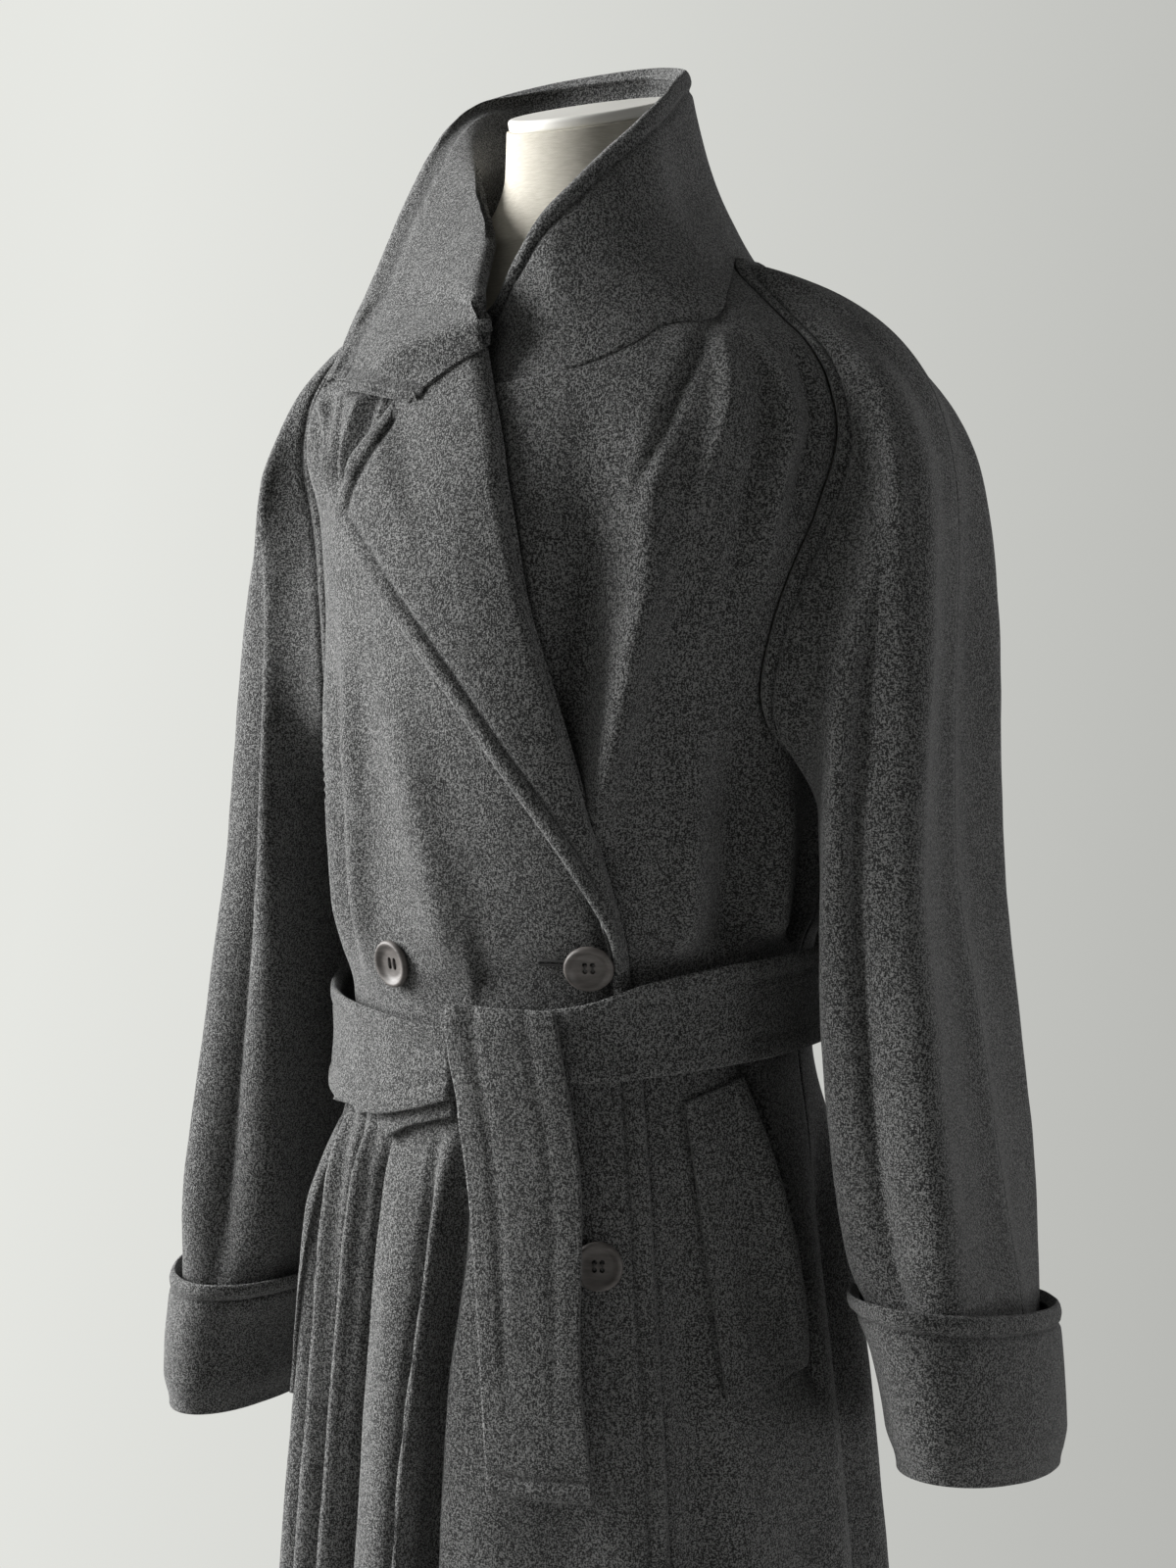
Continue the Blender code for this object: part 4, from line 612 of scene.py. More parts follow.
def pocket(across, share, side):
    angle, height = [mix(mix(lowFront, lowSide, across), mix(topFront, topSide, across), share)
                     for lowFront, lowSide, topFront, topSide in zip(*pockets["corners"])]
    if side < 0:
        out = pockets["out"] + pockets["rightOut"] + rightLayer(-angle)
        return bodyPoint(-angle, height - pockets["rightDrop"], out)
    opened = ease((across - pockets["gapeFrom"]) / (1.0 - pockets["gapeFrom"]))
    gape = pockets["gape"] * opened * math.sin(math.pi * share) ** pockets["gapeCurve"]
    return bodyPoint(angle, height, pockets["out"] + gape)


dressForm = {
    "room": (  # height, room inside the coat
        (0.8, 0.034, 0.034), (1.045, 0.03, 0.03), (1.28, 0.03, 0.03), (1.37, 0.03, 0.03),
        (1.41, 0.02, 0.028), (1.432, 0.0028, 0.025), (1.445, -0.0004, 0.023), (1.46, 0.0004, 0.023),
        (1.474, 0.005, 0.024),
    ),
    "neck": (  # height, half width, half depth
        (1.487, 0.074, 0.059), (1.497, 0.063, 0.055), (1.511, 0.054, 0.051), (1.53, 0.049, 0.049),
        (1.559, 0.048, 0.048),
    ),
    "rings": (  # height, share of the width
        (0.8, 0.55), (0.803, 0.8), (0.812, 0.93), (0.83, 1), (0.87, 1), (0.92, 1), (0.97, 1), (1.02, 1),
        (1.07, 1), (1.12, 1), (1.17, 1), (1.22, 1), (1.27, 1), (1.32, 1), (1.36, 1), (1.39, 1),
        (1.415, 1), (1.432, 1), (1.445, 1), (1.46, 1), (1.474, 1), (1.487, 1), (1.497, 1), (1.511, 1),
        (1.53, 1), (1.559, 1),
    ),
    "neckCentre": 0.0015,
    "neckTop": 1.559,
    "neckTilt": 0.29,
    "capThick": 0.007,
    "torsoBottom": 0.8,
    "poleRadius": 0.0125,
    "baseProfile": (  # radius, height
        (0, 0.024), (0.02, 0.024), (0.024, 0.02), (0.026, 0.014), (0.184, 0.011), (0.189, 0.0085),
        (0.19, 0.005), (0.189, 0), (0, 0),
    ),
    "sides": 96,
    "ringSteps": 4,
    "neckAbove": 0.005,
    "leanFrom": 1.48,
    "leanReach": 0.045,
    "tiltFrom": 1.5,
    "poleEdge": 0.001,
    "poleRoom": 0.0003,
}
buttons = {
    "places": (  # name, angle, height, out
        ("button_upper_left", 25.6, 1.093, 0.003), ("button_upper_right", -23, 1.084, -0.0006),
        ("button_lower_left", 28.3, 0.929, 0.0005),
    ),
    "profile": (  # radius, height
        (0, 0.0021), (0.007, 0.0022), (0.0086, 0.0025), (0.0098, 0.0033), (0.0107, 0.0042),
        (0.0116, 0.0047), (0.0125, 0.0046), (0.0132, 0.0039), (0.0136, 0.0028), (0.0134, 0.0017),
        (0.0126, 0.0007), (0.0112, 0.0002), (0.009, 0), (0, 0),
    ),
    "holeRadius": 0.0014,
    "holeSpacing": 0.0042,
    "steps": 64,
    "holeSides": 16,
    "drillDepth": 0.008,
    "drillUp": 0.002,
    "threadRadius": 0.00024,
    "threadArch": 0.0007,
    "threadShare": 0.56,
    "threadUp": 0.0025,
    "strand": 0.00027,  # half the gap of two threads
}


def addGroup(name, inputs, outputs):  # a group for an effect that several finishes share
    group = bpy.data.node_groups.new(name, "ShaderNodeTree")
    for label, value in inputs.items():
        kind = "Vector" if value is None else "Color" if isinstance(value, tuple) else "Float"
        socket = group.interface.new_socket(name=label, in_out="INPUT", socket_type="NodeSocket" + kind)
        if value is not None:
            socket.default_value = value
    for label, kind in outputs.items():
        group.interface.new_socket(name=label, in_out="OUTPUT", socket_type="NodeSocket" + kind)
    return group, group.nodes.new("NodeGroupInput").outputs, group.nodes.new("NodeGroupOutput").inputs


def feed(tree, socket, value):
    if isinstance(value, (int, float, tuple)):
        socket.default_value = value
    elif value is not None:
        tree.links.new(value, socket)


def calc(tree, operation, first, second=None):
    node = tree.nodes.new("ShaderNodeMath")
    node.operation = operation
    feed(tree, node.inputs[0], first)
    feed(tree, node.inputs[1], second)
    return node.outputs[0]


def scaled(tree, value, factor, plus):
    return calc(tree, "ADD", calc(tree, "MULTIPLY", value, factor), plus)


def blend(tree, factor, low, high):
    node = tree.nodes.new("ShaderNodeMix")
    node.data_type = "RGBA"
    feed(tree, node.inputs["Factor"], factor)
    feed(tree, node.inputs[6], low)
    feed(tree, node.inputs[7], high)
    return node.outputs[2]


def ramp(tree, value, low, high):
    node = tree.nodes.new("ShaderNodeValToRGB")
    for element, (place, colour) in zip(node.color_ramp.elements, (low, high)):
        element.position = place
        element.color = (*colour, 1.0)
    tree.links.new(value, node.inputs["Fac"])
    return node.outputs["Color"]


def addNoise(tree, vector, scale, detail=2.0, roughness=0.5, stretch=None, turn=(0.0, 0.0, 0.0)):
    if stretch:
        mapping = tree.nodes.new("ShaderNodeMapping")
        mapping.inputs["Rotation"].default_value = turn
        mapping.inputs["Scale"].default_value = stretch
        tree.links.new(vector, mapping.inputs["Vector"])
        vector = mapping.outputs["Vector"]
    node = tree.nodes.new("ShaderNodeTexNoise")
    node.inputs["Detail"].default_value = detail
    node.inputs["Roughness"].default_value = roughness
    feed(tree, node.inputs["Scale"], scale)
    tree.links.new(vector, node.inputs["Vector"])
    return node.outputs["Fac"]


fibres = {
    "layers": (  # weight, then the noise's scale, detail, roughness, stretch and turn
        (0.62, 1.0, 2.0, 0.6, (1500.0, 1500.0, 420.0), (0.5, 0.3, 0.0)),
        (0.62, 1.0, 2.0, 0.6, (480.0, 1400.0, 1400.0), (0.0, 0.5, 0.6)),
        (1.00, 1150.0, 1.0, 0.6),
        (0.40, 620.0, 2.0, 0.6),
        (0.08, 45.0, 2.0, 0.5),
    ),
    "spread": 1.6,
    "lightShare": 0.34,
}
stitches = {"pitch": 0.0042, "width": 0.0016, "wave": 0.08, "depth": 0.55}


def makeMelangeGroup():  # felted fibres: light hairs over a dark ground, with a height
    tree, given, result = addGroup(
        "feltedMelange",
        {"Vector": None, "Dark": (0.03, 0.03, 0.03, 1.0), "Light": (0.2, 0.2, 0.2, 1.0),
         "Contrast": 1.0},
        {"Color": "Color", "Height": "Float"})
    total = None
    for weight, *look in fibres["layers"]:
        step = calc(tree, "MULTIPLY", addNoise(tree, given["Vector"], *look), weight)
        total = calc(tree, "ADD", total, step) if total else step
    middle = 0.5 * sum(layer[0] for layer in fibres["layers"])
    spread = calc(tree, "MULTIPLY", calc(tree, "SUBTRACT", total, middle), given["Contrast"])
    share = scaled(tree, spread, fibres["spread"], fibres["lightShare"])
    share.node.use_clamp = True
    tree.links.new(blend(tree, share, given["Dark"], given["Light"]), result["Color"])
    tree.links.new(total, result["Height"])
    return tree


def makeStitchGroup():  # a sunk line of stitches beside an edge
    tree, given, result = addGroup(
        "sunkStitches",
        {"Distance": 1.0, "Along": 0.0, "Inset": 0.012, "Pitch": stitches["pitch"],
         "Width": stitches["width"]},
        {"Mask": "Float", "Height": "Float"})
    apart = calc(tree, "SUBTRACT", given["Distance"], given["Inset"])
    apart = calc(tree, "DIVIDE", apart, given["Width"])
    line = calc(tree, "EXPONENT", calc(tree, "MULTIPLY", calc(tree, "MULTIPLY", apart, apart), -1.0))
    turns = calc(tree, "DIVIDE", given["Along"], given["Pitch"])
    wave = calc(tree, "SINE", calc(tree, "MULTIPLY", turns, math.tau))
    sunk = calc(tree, "MULTIPLY", line, scaled(tree, wave, stitches["wave"], stitches["depth"]))
    # The mask also tells the wool where to paint shade into the sunk stitch groove.
    tree.links.new(line, result["Mask"])
    tree.links.new(calc(tree, "MULTIPLY", sunk, -1.0), result["Height"])
    return tree


def makeWeaveGroup():  # plain linen weave with slubs
    tree, given, result = addGroup("plainWeave", {"Vector": None, "Threads": 1250.0},
                                   {"Height": "Float", "Slub": "Float"})
    split = tree.nodes.new("ShaderNodeSeparateXYZ")
    tree.links.new(given["Vector"], split.inputs[0])
    sideways = calc(tree, "ADD", split.outputs["X"], split.outputs["Y"])
    counts = [calc(tree, "MULTIPLY", way, given["Threads"]) for way in (sideways, split.outputs["Z"])]
    warp, weft = [calc(tree, "SINE", calc(tree, "MULTIPLY", count, math.tau)) for count in counts]
    slub = addNoise(tree, given["Vector"], 1.0, 2.0, 0.6, (160.0, 160.0, 1500.0))
    tree.links.new(calc(tree, "ADD", calc(tree, "MULTIPLY", warp, weft), slub), result["Height"])
    tree.links.new(slub, result["Slub"])
    return tree


def makeWearGroup():  # fine scratches and soft blotches for hard finishes
    tree, given, result = addGroup("fineWear", {"Vector": None, "Scale": 60.0},
                                   {"Scratches": "Float", "Blotches": "Float"})
    scratches = addNoise(tree, given["Vector"], 1.0, 3.0, 0.7, (900.0, 60.0, 900.0), (0.3, 0.2, 0.5))
    tree.links.new(scratches, result["Scratches"])
    tree.links.new(addNoise(tree, given["Vector"], given["Scale"], 3.0), result["Blotches"])
    return tree


print("shared effects")
melangeGroup = makeMelangeGroup()
stitchGroup = makeStitchGroup()
weaveGroup = makeWeaveGroup()
wearGroup = makeWearGroup()


def startMaterial(name, roughness, metallic=0.0, specular=0.5):
    material = bpy.data.materials.new(name)
    material.use_nodes = True
    tree = material.node_tree
    shader = tree.nodes["Principled BSDF"]
    shader.inputs["Roughness"].default_value = roughness
    shader.inputs["Metallic"].default_value = metallic
    shader.inputs["Specular IOR Level"].default_value = specular
    return material, tree, shader, tree.nodes.new("ShaderNodeTexCoord").outputs["Object"]


def placeGroup(tree, group, **values):
    node = tree.nodes.new("ShaderNodeGroup")
    node.node_tree = group
    for label, value in values.items():
        feed(tree, node.inputs[label], value)
    return node.outputs


def addBump(tree, shader, height, distance, strength=1.0, before=None):
    bump = tree.nodes.new("ShaderNodeBump")
    bump.inputs["Distance"].default_value = distance
    bump.inputs["Strength"].default_value = strength
    tree.links.new(height, bump.inputs["Height"])
    feed(tree, bump.inputs["Normal"], before)
    tree.links.new(bump.outputs["Normal"], shader.inputs["Normal"])
    return bump.outputs["Normal"]


def readAttribute(tree, name):
    node = tree.nodes.new("ShaderNodeAttribute")
    node.attribute_name = name
    return node.outputs["Fac"]


woolLook = {
    "roughness": 0.92,
    "specular": 0.18,
    "sheen": 0.22,
    "sheenRoughness": 0.45,
    "dark": (0.021, 0.0212, 0.0210, 1.0),
    "light": (0.225, 0.226, 0.222, 1.0),
    "contrast": 3.3,
    "fibreHeight": 0.0017,
    "fibreStrength": 0.8,
    "stitchInset": 0.012,
    "stitchDepth": 0.0010,
    "stitchStrength": 0.9,
    # painted shade in the sunk stitch groove: its strength, then its colour
    "grooveShadeAmount": 0.40,
    "grooveShadeColour": (0.02, 0.02, 0.02, 1.0),
}


def makeWool():
    look = woolLook
    material, tree, shader, place = startMaterial("charcoalWool", look["roughness"],
                                                  specular=look["specular"])
    shader.inputs["Sheen Weight"].default_value = look["sheen"]
    shader.inputs["Sheen Roughness"].default_value = look["sheenRoughness"]
    melange = placeGroup(tree, melangeGroup, Vector=place, Dark=look["dark"], Light=look["light"],
                         Contrast=look["contrast"])
    normal = addBump(tree, shader, melange["Height"], look["fibreHeight"], look["fibreStrength"])
    line = placeGroup(tree, stitchGroup, Distance=readAttribute(tree, "stitchDistance"),
                      Along=readAttribute(tree, "stitchAlong"), Inset=look["stitchInset"])
    addBump(tree, shader, line["Height"], look["stitchDepth"], look["stitchStrength"], normal)
    # painted shade: the base colour is darkened along the stitch groove in place of the groove's own
    # shadow
    shade = calc(tree, "MULTIPLY", line["Mask"], look["grooveShadeAmount"])
    colour = blend(tree, shade, melange["Color"], look["grooveShadeColour"])
    tree.links.new(colour, shader.inputs["Base Color"])
    return material


threadLook = {
    "roughness": 0.8,
    "dark": 0.55,  # share of the colour between the strands
    "stretch": (2500.0, 2500.0, 700.0),
    "turn": (0.6, 0.0, 0.0),
    "height": 0.0003,
}


def makeThread(name, colour):
    look = threadLook
    material, tree, shader, place = startMaterial(name, look["roughness"])
    twist = addNoise(tree, place, 1.0, 2.0, 0.6, look["stretch"], look["turn"])
    dark = tuple(value * look["dark"] for value in colour)
    tree.links.new(blend(tree, twist, (*dark, 1.0), (*colour, 1.0)), shader.inputs["Base Color"])
    addBump(tree, shader, twist, look["height"])
    return material


hornLook = {
    "roughness": 0.34,
    "stretch": (90.0, 90.0, 420.0),
    "turn": (0.2, 0.5, 0.3),
    "dark": (0.32, (0.072, 0.064, 0.059)),  # place in the streaks, colour
    "light": (0.72, (0.140, 0.127, 0.119)),
    "wearScale": 300.0,
    "worn": 0.44,
    "scratched": 0.16,
    "height": 0.0001,
    "strength": 0.4,
}


def makeHorn():
    look = hornLook
    material, tree, shader, place = startMaterial("buttonHorn", look["roughness"])
    streaks = addNoise(tree, place, 1.0, 3.0, 0.6, look["stretch"], look["turn"])
    scratches = placeGroup(tree, wearGroup, Vector=place, Scale=look["wearScale"])["Scratches"]
    tree.links.new(ramp(tree, streaks, look["dark"], look["light"]), shader.inputs["Base Color"])
    tree.links.new(scaled(tree, scratches, look["scratched"], look["worn"]), shader.inputs["Roughness"])
    addBump(tree, shader, scratches, look["height"], look["strength"])
    return material


linenLook = {
    "roughness": 0.86,
    "specular": 0.25,
    "threads": 1150.0,  # for each metre
    "dark": (0.30, (0.55, 0.515, 0.435)),  # place in the slubs, colour
    "light": (0.70, (0.68, 0.645, 0.565)),
    "height": 0.00035,
    "strength": 0.7,
}


def makeLinen():
    look = linenLook
    material, tree, shader, place = startMaterial("formLinen", look["roughness"],
                                                  specular=look["specular"])
    weave = placeGroup(tree, weaveGroup, Vector=place, Threads=look["threads"])
    tree.links.new(ramp(tree, weave["Slub"], look["dark"], look["light"]), shader.inputs["Base Color"])
    addBump(tree, shader, weave["Height"], look["height"], look["strength"])
    return material


paintLook = {
    "wearScale": 18.0,
    "dark": 0.93,  # share of the colour in the blotches
    "scratched": 0.18,
    "height": 0.00008,
    "strength": 0.5,
}


def makePainted(name, colour, roughness, metallic=0.0):
    look = paintLook
    material, tree, shader, place = startMaterial(name, roughness, metallic)
    wear = placeGroup(tree, wearGroup, Vector=place, Scale=look["wearScale"])
    dark = tuple(value * look["dark"] for value in colour)
    colour = blend(tree, wear["Blotches"], (*dark, 1.0), (*colour, 1.0))
    tree.links.new(colour, shader.inputs["Base Color"])
    rough = scaled(tree, wear["Scratches"], look["scratched"], roughness - 0.5 * look["scratched"])
    tree.links.new(rough, shader.inputs["Roughness"])
    addBump(tree, shader, wear["Scratches"], look["height"], look["strength"])
    return material


print("materials")
wool = makeWool()
threadGrey = makeThread("threadGrey", (0.12, 0.116, 0.112))
threadDark = makeThread("threadDark", (0.055, 0.055, 0.055))
horn = makeHorn()
linen = makeLinen()
capFinish = makePainted("capFinish", (0.80, 0.785, 0.74), 0.45)
steelFinish = makePainted("brushedSteel", (0.56, 0.56, 0.56), 0.34, 1.0)
enamelFinish = makePainted("baseEnamel", (0.80, 0.79, 0.77), 0.42)

sewing = {
    "inset": 0.012,
    "edgeLines": (0.0, 0.0012, 0.0030, 0.0060, 0.0092, 0.0108, 0.0120, 0.0132, 0.0150, 0.0180),
    "edgeRound": 0.0030,
    "edgeDrop": 0.0013,
    "puff": 0.0012,
    "thickest": 1.7,  # share of the wall at the bead
    "thinnest": 0.15,
    "calmReach": 0.015,
    "groove": 0.0015,
    "grooveWidth": 0.0023,
    "pucker": 0.0007,
    "puckerPlace": 0.8,
    "puckerWidth": 0.010,
    "puckerPitch": 0.017,
    "seamDip": 0.0004,
    "seamWidth": 0.0018,
    "seamReach": 0.03,
    "beadReach": 0.05,
    "leastStitched": 0.6,
    "rollRound": 0.0110,
    "rollDepth": 0.0080,
    "unevenness": (  # depth, size, shift
        (0.0013, 0.085, (0.0, 0.0, 0.0)), (0.00035, 0.022, (5.0, 2.0, 9.0)),
    ),
}


def shareLines(count, length=1.0, start=False, end=False):  # close lines beside stitched edges
    near = [spot / length for spot in sewing["edgeLines"]]
    low = near[-1] if start else 0.0
    high = 1.0 - near[-1] if end else 1.0
    lines = [mix(low, high, step / count) for step in range(count + 1)]
    if start:
        lines = near[:-1] + lines
    if end:
        lines = lines + [1.0 - spot for spot in reversed(near[:-1])]
    return lines


def roundedEdge(distance, reach, depth):
    step = max(0.0, 1.0 - distance / reach)
    return (1.0 - math.sqrt(1.0 - step * step)) * depth


def clothRelief(distance, along, kind):  # a bead with its sunk line, a soft roll or a seam's dip
    if kind == "sewn":
        return -sewing["seamDip"] * math.exp(-distance / sewing["seamWidth"])
    if kind == "rolled":
        return -roundedEdge(distance, sewing["rollRound"], sewing["rollDepth"])
    relief = -roundedEdge(distance, sewing["edgeRound"], sewing["edgeDrop"])
    if distance < sewing["inset"]:
        relief += sewing["puff"] * math.sin(math.pi * distance / sewing["inset"])
    relief -= sewing["groove"] * bell((distance - sewing["inset"]) / sewing["grooveWidth"])
    near = bell((distance - sewing["inset"] * sewing["puckerPlace"]) / sewing["puckerWidth"])
    wave = noise.noise(Vector((along / sewing["puckerPitch"], 3.7, 1.3)))
    return relief + sewing["pucker"] * near * wave


def roughGround(point):
    return sum(depth * noise.noise(point / size + Vector(shift))
               for depth, size, shift in sewing["unevenness"])


def runLengths(points):
    lengths = [0.0]
    for first, second in zip(points, points[1:]):
        lengths.append(lengths[-1] + (second - first).length)
    return lengths


def addObject(name, bm, material=None):
    mesh = bpy.data.meshes.new(name)
    bm.to_mesh(mesh)
    bm.free()
    if material:
        mesh.shade_smooth()
        mesh.materials.append(material)
    added = bpy.data.objects.new(name, mesh)
    bpy.context.scene.collection.objects.link(added)
    return added


def makeCloth(name, node, surface, columns, rows, wall, edges,
              flip=False, closed=False, rough=1.0, sewn=1.0, widen=None):
    # edges: what is done at the left, right, bottom and top: "stitched", "sewn", "rolled" or ""
    across, along = len(columns) - 1, len(rows) - 1
    bm = bmesh.new()
    distanceLayer = bm.verts.layers.float.new("stitchDistance")
    alongLayer = bm.verts.layers.float.new("stitchAlong")
    weights = bm.verts.layers.deform.verify()
    bmesh.ops.create_grid(bm, x_segments=across, y_segments=along, size=0.5)
    grid = [[None] * (across + 1) for row in rows]
    for vert in bm.verts:
        column = round((vert.co.x + 0.5) * across)
        row = round((vert.co.y + 0.5) * along)
        vert.co = surface(columns[column], rows[row])
        grid[row][column] = vert
    rowRuns = [runLengths([vert.co for vert in line]) for line in grid]
    columnRuns = [runLengths([vert.co for vert in line]) for line in zip(*grid)]
    moves = []
    for row, line in enumerate(grid):
        for column, vert in enumerate(line):
            if closed:
                left, right = line[(column - 1) % across], line[(column + 1) % across]
            else:
                left, right = line[max(column - 1, 0)], line[min(column + 1, across)]
            below, above = grid[max(row - 1, 0)][column], grid[min(row + 1, along)][column]
            normal = (right.co - left.co).cross(above.co - below.co)
            normal.normalize()
            if flip:
                normal.negate()
            sideways, upward = rowRuns[row][column], columnRuns[column][row]
            narrow = widen(columns[column]) if widen else 1.0
            distances = (sideways, rowRuns[row][-1] - sideways, upward,
                         (columnRuns[column][-1] - upward) * narrow)
            calm = min([distance for kind, distance in zip(edges, distances) if kind == "sewn"] + [1.0])
            relief = rough * roughGround(vert.co) * min(1.0, calm / sewing["calmReach"])
            nearest, nearAlong = 1.0, 0.0
            for side, (kind, distance) in enumerate(zip(edges, distances)):
                sideAlong = upward if side < 2 else sideways
                if kind == "stitched" and distance < nearest:
                    nearest, nearAlong = distance, sideAlong
                elif kind in ("sewn", "rolled") and distance < sewing["seamReach"]:
                    relief += clothRelief(distance, sideAlong, kind)
            bead = 0.0
            if nearest < sewing["beadReach"]:
                bead = sewn / narrow * clothRelief(nearest, nearAlong, "stitched")
            thickness = (wall + 2.0 * bead) / (wall * sewing["thickest"])
            vert[weights][0] = min(1.0, max(sewing["thinnest"], thickness))
            vert[distanceLayer] = nearest if sewn > sewing["leastStitched"] else 1.0
            vert[alongLayer] = nearAlong
            moves.append((vert, normal * (relief + bead)))
    for vert, move in moves:
        vert.co += move
    if closed:
        bmesh.ops.remove_doubles(bm, verts=bm.verts, dist=0.00002)
    if flip:
        bmesh.ops.reverse_faces(bm, faces=bm.faces)
    piece = addObject(name, bm, wool)
    thick = piece.modifiers.new("wall", "SOLIDIFY")
    thick.thickness = wall * sewing["thickest"]
    thick.offset = -1.0
    thick.vertex_group = piece.vertex_groups.new(name="thickness").name
    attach(piece, "root")
    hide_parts(node)


def finishPiece(name, bm, material, node=None):
    piece = addObject(name, bm, material)
    piece.data.set_sharp_from_angle(angle=math.radians(42.0))
    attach(piece, "root")
    if node:
        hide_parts(node)


def belowNotch(across):  # past the notch the top edge is under the collar and has no bead
    covered = ease((across - lapelFacing["notch"]) / lapelFacing["coveredReach"])
    return mix(1.0, lapelFacing["coveredBead"], covered)


def leafWiden(around):  # the leaf is seen at a slant, so its sewn edge is wider
    past = ease((around - collarLeaf["leafTo"]) / collarLeaf["leafReach"])
    return mix(collarLeaf["leafInset"], 1.0, past)


print("coat body")
makeCloth("rightFrontCloth", "coat_front_right", rightFront, shareLines(104, 0.40, end=True),
          shareLines(230, 1.2), cloth["wall"], ("sewn", "stitched", "", "sewn"))
makeCloth("leftFrontCloth", "coat_front_left", leftFront, shareLines(90, 0.4), shareLines(230, 1.2),
          cloth["wall"], ("", "sewn", "", "sewn"))
makeCloth("backCloth", "coat_back", back, shareLines(110, 0.6), shareLines(220, 1.2),
          cloth["wall"], ("sewn", "sewn", "", "sewn"))
makeCloth("lapelCloth", "lapel_right", lapel, shareLines(36, 0.10, start=True, end=True),
          shareLines(90, 0.42, end=True), cloth["doubleWall"], ("stitched", "rolled", "", "stitched"),
          widen=belowNotch)

print("sleeves")
for side, sideName in ((1, "left"), (-1, "right")):
    for front, halfName in ((True, "front"), (False, "back")):
        makeCloth(f"{sideName}Sleeve{halfName.capitalize()}", f"sleeve_{sideName}_{halfName}",
                  lambda across, along: halfSleeve(across, 1.0 - along, side, front),
                  shareLines(60, 0.2), shareLines(150, 0.7, end=True),
                  cloth["wall"], ("sewn", "sewn", "", "stitched"),
                  flip=(side > 0) == front)
    makeCloth(f"{sideName}CuffCloth", f"cuff_{sideName}",
              lambda around, share: cuffSurface(around, share, side), shareLines(150),
              shareLines(18, 0.09, start=True, end=True), cloth["doubleWall"], ("", "", "", "stitched"),
              flip=side > 0, closed=True)

print("collar")
makeCloth("collarCloth", "collar", collar, shareLines(190, 0.75, start=True, end=True),
          shareLines(54, 0.12, end=True), cloth["doubleWall"], ("stitched", "stitched", "", "stitched"),
          flip=True, rough=0.6, widen=leafWiden)

print("belt")
makeCloth("beltBand", "belt_band", belt, shareLines(220, 0.9),
          shareLines(14, 0.056, start=True, end=True), tieBelt["thick"],
          ("", "", "stitched", "stitched"), sewn=0.5)
makeCloth("beltTail", "belt_tail", tail, shareLines(14, 0.057, start=True, end=True),
          shareLines(90, 0.28, start=True, end=True), tieBelt["thick"],
          ("", "", "stitched", ""))
makeCloth("beltShortEnd", "belt_short_end", shortEnd, shareLines(30, 0.06), shareLines(16, 0.04),
          tieBelt["shortEndThick"], ("", "", "", ""))

print("pockets")
for side, sideName in ((1, "left"), (-1, "right")):
    makeCloth(f"{sideName}PocketCloth", f"pocket_{sideName}",
              lambda across, share: pocket(across, share, side),
              shareLines(24, 0.07, start=True, end=True), shareLines(40, 0.17, start=True, end=True),
              cloth["doubleWall"], ("", "stitched", "", ""),
              flip=side < 0, sewn=0.5)


def surfaceFrame(angle, height, out):  # x sideways, y up and z outwards on the coat
    turn, rise = 0.5, 0.003
    along = bodyPoint(angle + turn, height) - bodyPoint(angle - turn, height)
    up = bodyPoint(angle, height + rise) - bodyPoint(angle, height - rise)
    normal = along.cross(up).normalized()
    centre = bodyPoint(angle, height, rightLayer(angle)) + normal * out
    sideAxis = Vector((0.0, 0.0, 1.0)).cross(normal).normalized()
    return Matrix((*zip(sideAxis, normal.cross(sideAxis), normal, centre), (0.0, 0.0, 0.0, 1.0)))


def turned(profile, steps):
    bm = bmesh.new()
    line = [bm.verts.new((radius, 0.0, up)) for radius, up in profile]
    wire = [bm.edges.new(pair) for pair in zip(line, line[1:])]
    bmesh.ops.spin(bm, geom=line + wire, cent=(0.0, 0.0, 0.0), axis=(0.0, 0.0, 1.0),
                   angle=math.tau, steps=steps, use_merge=True, use_duplicate=False)
    bmesh.ops.remove_doubles(bm, verts=bm.verts, dist=0.00001)
    bmesh.ops.recalc_face_normals(bm, faces=bm.faces)
    return bm


def takeMesh(holder):  # the finished mesh of a helper object, which then goes
    bpy.context.view_layer.update()
    mesh = bpy.data.meshes.new_from_object(holder.evaluated_get(bpy.context.evaluated_depsgraph_get()))
    bpy.data.objects.remove(holder)
    bm = bmesh.new()
    bm.from_mesh(mesh)
    return bm


